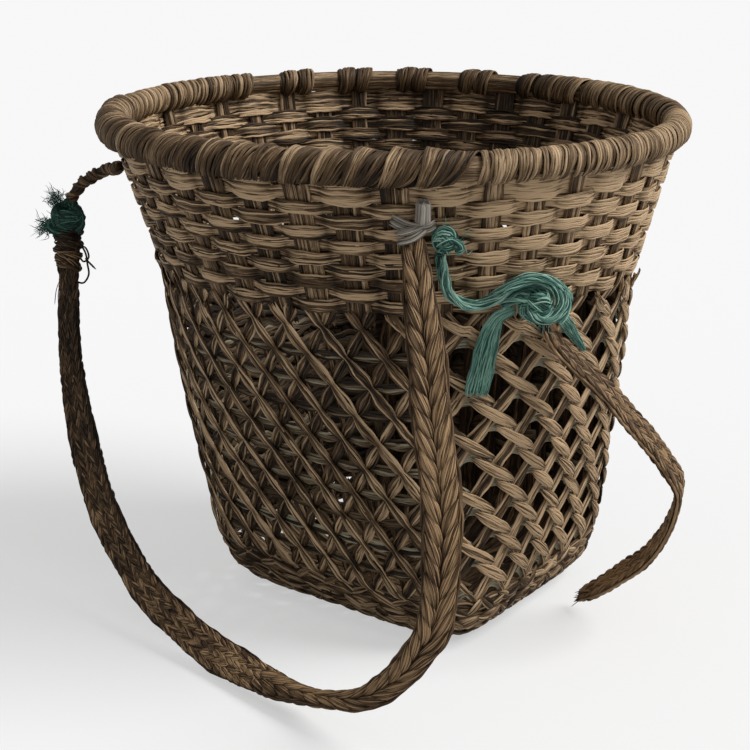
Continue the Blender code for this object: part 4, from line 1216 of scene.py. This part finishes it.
def mat_heights(ups, pitch, half_width):
    """Places and heights of a mat strip where it goes over and under the ones that it crosses."""
    found = []
    for index, up in enumerate(ups):
        middle = (index - (len(ups) - 1) / 2) * pitch
        height = MAT_WAVE if up else -MAT_WAVE
        found.append((middle - half_width * 0.5, height))
        found.append((middle + half_width * 0.5, height))
    return found


def is_up(place, row):
    return (place + row) % (2 * TWILL) < TWILL


def along_strip(first, mat, last):
    """A strip's stations of point, normal and width, made dense and a little smoother."""
    points, normals, widths = (np.array(column, float) for column in zip(*first, *mat, *last[::-1]))
    along = lengths_along(points)
    wanted = np.linspace(0.0, along[-1], max(int(along[-1] / STATION_SPACING), 4) + 1)
    dense = interpolated(wanted, along, points)
    for _ in range(2):
        dense[1:-1] = (dense[:-2] + 2 * dense[1:-1] + dense[2:]) / 4
    return dense, unit(interpolated(wanted, along, normals)), interpolated(wanted, along, widths)


def upright_half(line):
    """Stations of an upright from its top in the band to where the base is flat."""
    run = [(*wall(line, level), UPRIGHT_WIDTH_BAND) for level in (UPRIGHT_TOP, BAND_FOOT, LATTICE_HEAD)]
    for share in LATTICE_STATIONS:
        level = LATTICE_FOOT + (LATTICE_HEAD - LATTICE_FOOT) * share
        run.append((*wall(line, level), UPRIGHT_WIDTH_LATTICE))
    for share, spread in BEND_STATIONS:
        width = UPRIGHT_WIDTH_LATTICE + (UPRIGHT_WIDTH_BASE - UPRIGHT_WIDTH_LATTICE) * spread
        run.append((*bend(line, share * math.pi / 2), width))
    return run


def upright(index):
    fibres = Fibres(400 + index)
    front = upright_half(float(index))
    back = upright_half(float(LINES_ON_Y_FACE + LINES_ON_X_FACE + LINES_ON_Y_FACE - 1 - index))
    middle = (front[-1][0] + back[-1][0]) / 2
    mat = []
    ups = [is_up(index, row) for row in range(CROSS_STRIPS)]
    for place, height in mat_heights(ups, CROSS_PITCH, CROSS_WIDTH / 2):
        mat.append((middle + (0.0, place, height), -UP, UPRIGHT_WIDTH_BASE))
    centres, normals, widths = along_strip(front, mat, back)
    spot = centres[:, 2]
    past_middle = np.arange(len(spot)) > len(spot) / 2
    behind = past_middle & (spot > BEND_TOP)
    widths = widths * (1.0 + 0.45 * (spot < BEND_TOP) + 1.1 * behind)
    squeeze = between_crossings((LATTICE_HEAD - spot) / (2 * SEEN_RISE))
    in_lattice = (spot > SEEN_FOOT) & (spot < LATTICE_HEAD)
    widths = np.where(in_lattice, widths * (0.75 + 0.55 * squeeze), widths)
    back_width = BACK_BEND_WIDTH + BACK_BEND_GROWTH * ramp(spot, *BACK_BEND_GROWS)
    widths = np.where(past_middle & (spot < BACK_BEND_TOP), back_width, widths)
    # Painted shade: the uprights are darker where they rise up the faces behind.
    tone = 0.30 - 0.18 * behind + 0.12 * (spot > BAND_FOOT) * (1.0 - behind)
    fibres.bundle(
        centres, normals, widths, 5, STRIP_THICKNESS, shade=tone, taper=THREAD_TIP, fill=STRIP_FILL
    )
    fibres.mesh(f"upright_fibres_{index + 1}", bark, f"upright_strip_{index + 1}")


def cross_strip(index):
    fibres = Fibres(500 + index)
    steps = index - (CROSS_STRIPS - 1) / 2
    turn = base_turn(CROSS_REACH_SHARE * 2 * steps / (CROSS_STRIPS - 1), False)
    halves = []
    for direction in (math.pi - turn, turn):
        angles = [share * math.pi / 2 for share in CROSS_STATIONS]
        halves.append([(*bend_towards(direction, angle), CROSS_WIDTH) for angle in angles])
    middle = (halves[0][-1][0] + halves[1][-1][0]) / 2
    mat = []
    ups = [not is_up(line, index) for line in range(LINES_ON_Y_FACE)]
    for place, height in mat_heights(ups, BASE_PITCH_X, UPRIGHT_WIDTH_BASE / 2):
        mat.append((middle + (place, 0.0, height), -UP, CROSS_WIDTH))
    centres, normals, widths = along_strip(halves[0], mat, halves[1])
    fibres.bundle(
        centres, normals, widths * CROSS_GROWTH, 6, STRIP_THICKNESS, shade=0.30, taper=THREAD_TIP,
        fill=STRIP_FILL
    )
    fibres.mesh(f"base_strip_fibres_{index + 1}", bark, f"base_strip_{index + 1}")


# Base border: long fibres round the bottom edge, with short folded strips lying over them.
BORDER_FOLDS = 64
BORDER_THICKNESS, BORDER_DIP = 0.0019, 0.0006
FOLD_WIDTH, FOLD_THICKNESS, FOLD_LIFT = 0.0056, 0.0012, 0.0012


def border_fold(fibres, number, turn):
    share = np.linspace(0.0, 1.0, 9)
    middle = (number + 0.8 * fibres.stray()) * LINES / BORDER_FOLDS
    reach = 0.34 + 0.30 * fibres.random.random()
    slant = (0.14 if number % 2 else -0.14) + 0.16 * fibres.stray()
    run = (share - 0.5) * 2
    lift = BORDER_LAYER + FOLD_LIFT * arch(share)
    points, normals = bend(middle + run * reach, turn + slant * run, lift)
    fibres.bundle(
        points, normals,
        FOLD_WIDTH * leaf_shape(share, 0.06, 0.6) * (0.8 + 0.5 * fibres.random.random()), 4,
        FOLD_THICKNESS, crown=1.0, wander=0.5, shade=0.24 + 0.30 * fibres.random.random(),
        taper=THREAD_TIP, fill=0.7
    )


def border(index):
    fibres = Fibres(600 + index)
    place = np.arange(0, LINES, 0.1)
    turn = math.radians(BORDER_TURNS[index])
    folds = np.sin(math.pi * place * 1.5 + index * 2.0)
    centres, normals = bend(place, turn + 0.03 * folds, BORDER_LAYER - BORDER_DIP + BORDER_DIP * folds)
    fibres.bundle(
        centres, normals, BORDER_WIDTH * (1.16 + 0.20 * folds), 7, BORDER_THICKNESS, closed=True,
        crown=0.6, wander=0.8, shade=0.30 + 0.08 * folds, fill=0.68
    )
    for number in range(BORDER_FOLDS):
        border_fold(fibres, number, turn)
    fibres.mesh(f"base_border_fibres_{index + 1}", bark, f"base_border_{index + 1}")


for row in range(ROWS):
    weaver(row)
for index in range(STRANDS):
    strand(index)
for row in range(HOOP_ROWS):
    hoop(row)
for index in range(LINES_ON_Y_FACE):
    upright(index)
for index in range(CROSS_STRIPS):
    cross_strip(index)
for index in range(len(BORDER_TURNS)):
    border(index)


# Rim: two hoops of long fibres and the wrapping over them.
RIM_CENTRE_Z = 0.3425
RIM_HALF_WIDE = 0.0083
RIM_HALF_HIGH = 0.0092
RIM_HOOP_DEPTH, RIM_LINE_PITCH = 0.0030, 0.030
RIM_FIBRE_HALF_WIDTH, RIM_FIBRE_HALF_HEIGHT = 0.0021, 0.0013
WRAP_THICKNESS, WRAP_DEPTH, WRAP_DEPTH_VARIATION = 0.0011, 0.0006, 0.0008
# Kinds of wrapping: width, the steps between its turns, slant in lines, fibres, dome and tone.
BROAD_LEAVES = (0.0235, (0.66, 0.66), 0.95, 14, 0.0012, 0.22)
THIN_TURNS = (0.0080, (0.26, 0.26), 0.34, 5, 0.0008, 0.44)
CORNER_TURNS = (0.0120, (0.42, 0.42), 0.60, 8, 0.0012, 0.32)
FAR_LASHINGS = (0.0125, (1.25, 0.42), 0.30, 8, 0.0008, 0.16)
LEFT_TURNS = (0.0090, (0.30, 0.30), 0.40, 6, 0.0008, 0.36)
WRAPS_UP_TO = (
    (9.6, BROAD_LEAVES),
    (17.5, THIN_TURNS),
    (23.5, CORNER_TURNS),
    (31.0, FAR_LASHINGS),
    (37.8, LEFT_TURNS),
    (LINES, BROAD_LEAVES),
)


def rim_point(place, turn, grow=0.0):
    """A point round the rim's section: turn 0 faces out, a quarter turn is the top."""
    point, out = plan(place, np.full(np.shape(place), RIM_CENTRE_Z))
    cosine, sine = np.cos(turn), np.sin(turn)
    reach = out * (cosine * (RIM_HALF_WIDE + grow))[..., None]
    reach = reach + UP * (sine * (RIM_HALF_HIGH + grow))[..., None]
    return point + reach, unit(out * cosine[..., None] + UP * sine[..., None])


def rim_hoop(name, node, turns, seed):
    fibres = Fibres(seed)
    place = np.arange(0, LINES, 0.125)
    for turn in turns:
        sway = 0.10 * fibres.sway(place * RIM_LINE_PITCH, True)
        centres, normals = rim_point(place, turn + sway, -RIM_HOOP_DEPTH)
        tone = 0.42 + 0.30 * fibres.stray()
        fibres.add(centres, normals, RIM_FIBRE_HALF_WIDTH, RIM_FIBRE_HALF_HEIGHT, closed=True, shade=tone)
    fibres.mesh(name, bark, node)


def wrap_turn(fibres, place, width, step, slant, number, dome, tone):
    """One turn of the wrapping, from under the rim outside, over it and down inside."""
    turn = np.linspace(-1.25, 4.40, 22)
    share = (turn - turn[0]) / (turn[-1] - turn[0])
    place = place + 0.10 * step * fibres.stray()
    tilt = slant * (0.8 + 0.4 * fibres.random.random())
    grow = WRAP_DEPTH_VARIATION * fibres.stray() - WRAP_DEPTH
    centres, normals = rim_point(place + tilt * (share - 0.5), turn, grow)
    # Painted shade: each turn is darker at its ends, where it goes under, with a painted highlight on its
    # raised edge and painted shade on the edge tucked under the next.
    fibres.bundle(
        centres, normals, width * (0.60 + 0.50 * leaf_shape(share, 0.04, 0.6)), number, WRAP_THICKNESS,
        crown=0.9, wander=0.8, shade=tone + 0.12 * arch(share) + 0.16 * fibres.stray(), taper=STRIP_TIP,
        dome=dome, spread=0.17, fill=0.7, roll=0.16 * width, painted_side_light=0.26
    )


def wraps():
    """Wrapping over the rim: broad leaves in front, close turns at the sides, far lashings behind."""
    fibres = Fibres(33)
    place = 0.0
    turns = 0
    while place < LINES:
        kind = next(kind for end, kind in WRAPS_UP_TO if place < end)
        width, steps, slant, number, dome, tone = kind
        step = steps[turns % 2]
        wrap_turn(fibres, place, width, step, slant, number, dome, tone)
        place += step * (0.85 + 0.3 * fibres.random.random())
        turns += 1
    fibres.mesh("rim_wrapping", bark, "rim_binding")


rim_hoop("rim_hoop_fibres_outer", "rim_hoop_outer", np.linspace(-1.2, 1.35, 8), 31)
rim_hoop("rim_hoop_fibres_inner", "rim_hoop_inner", np.linspace(1.75, 4.3, 8), 32)
wraps()

# Pale bark: the stub, the sling round it and the two turns round the strap's head.
PEG_FIBRES, PEG_RADIUS, PEG_FIBRE_RADIUS, PEG_CORE, PEG_TIP = 22, 0.0036, 0.0008, 0.0034, 0.001
PEG_AWAY = (0.9, -0.4, 0.0)
SLING_WIDTH, SLING_THICKNESS = 0.0070, 0.0015
SLING_CLEAR, SLING_BULGE = 0.00105, 0.0046
# The sling's line: its place round the wall, its height in rows of the band and its share of the bulge.
SLING_LINE = (
    (7.88, 7.55, 0.0),
    (8.13, 7.30, 0.65),
    (8.40, 7.10, 1.0),
    (8.62, 7.05, 0.75),
    (8.80, 7.15, 0.0),
)
HEAD_TURNS_MIDDLE = np.array(LONG_STRAP_ROUTE[0]) + (0.0020, -0.0046, 0.0030)
# Each turn as the photo shows it: metres to the right and up where it starts and where it ends.
HEAD_TURNS = (((-0.0105, 0.0010), (0.0100, 0.0090)), ((-0.0090, -0.0040), (0.0085, 0.0040)))
HEAD_TURN_WIDTH, HEAD_TURN_THICKNESS, HEAD_TURN_SAG = 0.0042, 0.0012, 0.0022
HEAD_TURN_BULGE, HEAD_TURN_SINK = 0.0036, 0.0012


def peg():
    """The pale stub, whose place and slant come from its solid."""
    points = np.array([tuple(vertex.co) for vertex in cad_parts["front_peg"].data.vertices])
    centre = points.mean(axis=0)
    axis = unit(np.linalg.svd(points - centre, full_matrices=False)[2][0])
    axis = axis * np.sign(axis[2])
    fibres = Fibres(41)
    length = np.ptp((points - centre) @ axis)
    side = unit(np.cross(axis, PEG_AWAY))
    other = np.cross(axis, side)
    run = np.linspace(-0.5, 0.5, 9)
    for number in range(PEG_FIBRES):
        turn = math.tau * number / PEG_FIBRES
        out = side * math.cos(turn) + other * math.sin(turn)
        reach = PEG_RADIUS * (1.0 + 0.12 * math.sin(turn * 5)) * (1.0 - 0.1 * run)
        ends = 1.0 + 0.10 * fibres.stray()
        line = centre + axis * (run * length * ends)[:, None] + out * reach[:, None]
        tone = 0.5 + 0.5 * fibres.stray()
        fibres.add(line, np.tile(out, (9, 1)), PEG_FIBRE_RADIUS, PEG_FIBRE_RADIUS, shade=tone, taper=PEG_TIP)
    line = centre + axis * (run * length * 0.92)[:, None]
    fibres.add(line, np.tile(side, (9, 1)), PEG_CORE, PEG_CORE, shade=0.5, sides=10)
    fibres.mesh("front_peg_stub", pale_bark, "front_peg", slot="pale_bark")


def sling():
    fibres = Fibres(42)
    line, facing = [], []
    for place, row, bulge in SLING_LINE:
        out = WEAVER_OUT + SLING_CLEAR + STRIP / 2 + SLING_BULGE * bulge
        point, normal = wall(place, ROW_FIRST + row * ROW_PITCH, out)
        line.append(point)
        facing.append(normal)
    points = curve_through(line, 6)
    share = np.linspace(0.0, 1.0, len(points))
    normals = unit(interpolated(share, np.linspace(0.0, 1.0, len(facing)), np.array(facing)))
    fibres.bundle(
        points, normals, SLING_WIDTH, 6, SLING_THICKNESS, wander=0.6, shade=0.36, taper=THREAD_TIP, fill=0.7
    )
    fibres.mesh("front_sling_fibres", pale_bark, "front_sling")


def strap_head_turns():
    """Two turns of the pale bark drawn round the strap's upper end, which swing with it."""
    fibres = Fibres(43)
    share = np.linspace(0.0, 1.0, 10)[:, None]
    bow = arch(share)
    for (left, low_up), (right, high_up) in HEAD_TURNS:
        across = left + (right - left) * share
        up = low_up + (high_up - low_up) * share - HEAD_TURN_SAG * bow
        fibres.bundle(
            HEAD_TURNS_MIDDLE + seen(across, up, HEAD_TURN_BULGE * bow - HEAD_TURN_SINK),
            np.tile(SEEN_OUT, (10, 1)), HEAD_TURN_WIDTH, 6, HEAD_TURN_THICKNESS, crown=1.0, wander=0.8,
            shade=0.36, taper=STRIP_TIP, fill=0.7
        )
    fibres.mesh("strap_head_turns", pale_bark, body="long_strap", slot="pale_bark")


peg()
sling()
strap_head_turns()

# Studio: the floor, the backdrop and the light.
WHITE = (1.0, 1.0, 1.0, 1.0)
FLOOR_REACH = 30.0
FLOOR_GREY = (0.50, 0.50, 0.50, 1.0)
FLOOR_GLOW, SKY_LIGHT, BACKDROP_LIGHT = 0.485, 0.36, 0.93
KEY_TOWARDS, KEY_STRENGTH, KEY_SOFTNESS = (0.80, 0.42, 0.95), 2.35, math.radians(30.0)


def floor_look():
    """Grey that takes shadows, with a glow that only the camera sees."""
    look = bpy.data.materials.new("floor")
    look.use_nodes = True
    tree = look.node_tree
    tree.nodes.clear()
    out = tree.nodes.new("ShaderNodeOutputMaterial")
    diffuse = tree.nodes.new("ShaderNodeBsdfDiffuse")
    diffuse.inputs["Color"].default_value = FLOOR_GREY
    glow = tree.nodes.new("ShaderNodeEmission")
    glow.inputs["Color"].default_value = WHITE
    path = tree.nodes.new("ShaderNodeLightPath")
    level = tree.nodes.new("ShaderNodeMath")
    level.operation = "MULTIPLY"
    level.inputs[1].default_value = FLOOR_GLOW
    total = tree.nodes.new("ShaderNodeAddShader")
    tree.links.new(path.outputs["Is Camera Ray"], level.inputs[0])
    tree.links.new(level.outputs["Value"], glow.inputs["Strength"])
    tree.links.new(diffuse.outputs["BSDF"], total.inputs[0])
    tree.links.new(glow.outputs["Emission"], total.inputs[1])
    tree.links.new(total.outputs["Shader"], out.inputs["Surface"])
    return look


def make_floor():
    mesh = bpy.data.meshes.new("floor")
    corners = [(x * FLOOR_REACH, y * FLOOR_REACH, 0) for x, y in ((-1, -1), (1, -1), (1, 1), (-1, 1))]
    mesh.from_pydata(corners, [], [(0, 1, 2, 3)])
    floor = bpy.data.objects.new("floor", mesh)
    bpy.context.scene.collection.objects.link(floor)
    mesh.materials.append(floor_look())


def make_backdrop():
    """White light from all round, and a paler backdrop that only the camera sees."""
    world = bpy.data.worlds.new("studio")
    bpy.context.scene.world = world
    world.use_nodes = True
    tree = world.node_tree
    background = tree.nodes["Background"]
    background.inputs["Color"].default_value = WHITE
    background.inputs["Strength"].default_value = SKY_LIGHT
    backdrop = tree.nodes.new("ShaderNodeBackground")
    backdrop.inputs["Color"].default_value = WHITE
    backdrop.inputs["Strength"].default_value = BACKDROP_LIGHT
    ray = tree.nodes.new("ShaderNodeLightPath")
    both = tree.nodes.new("ShaderNodeMixShader")
    tree.links.new(ray.outputs["Is Camera Ray"], both.inputs[0])
    tree.links.new(background.outputs["Background"], both.inputs[1])
    tree.links.new(backdrop.outputs["Background"], both.inputs[2])
    tree.links.new(both.outputs["Shader"], tree.nodes["World Output"].inputs["Surface"])


def make_key_light():
    sun = bpy.data.lights.new("key", "SUN")
    sun.energy = KEY_STRENGTH
    sun.angle = KEY_SOFTNESS
    key = bpy.data.objects.new("key", sun)
    bpy.context.scene.collection.objects.link(key)
    key.rotation_euler = Vector(KEY_TOWARDS).normalized().to_track_quat("Z", "Y").to_euler()


bpy.context.scene.view_settings.view_transform = "Standard"
make_floor()
make_backdrop()
make_key_light()
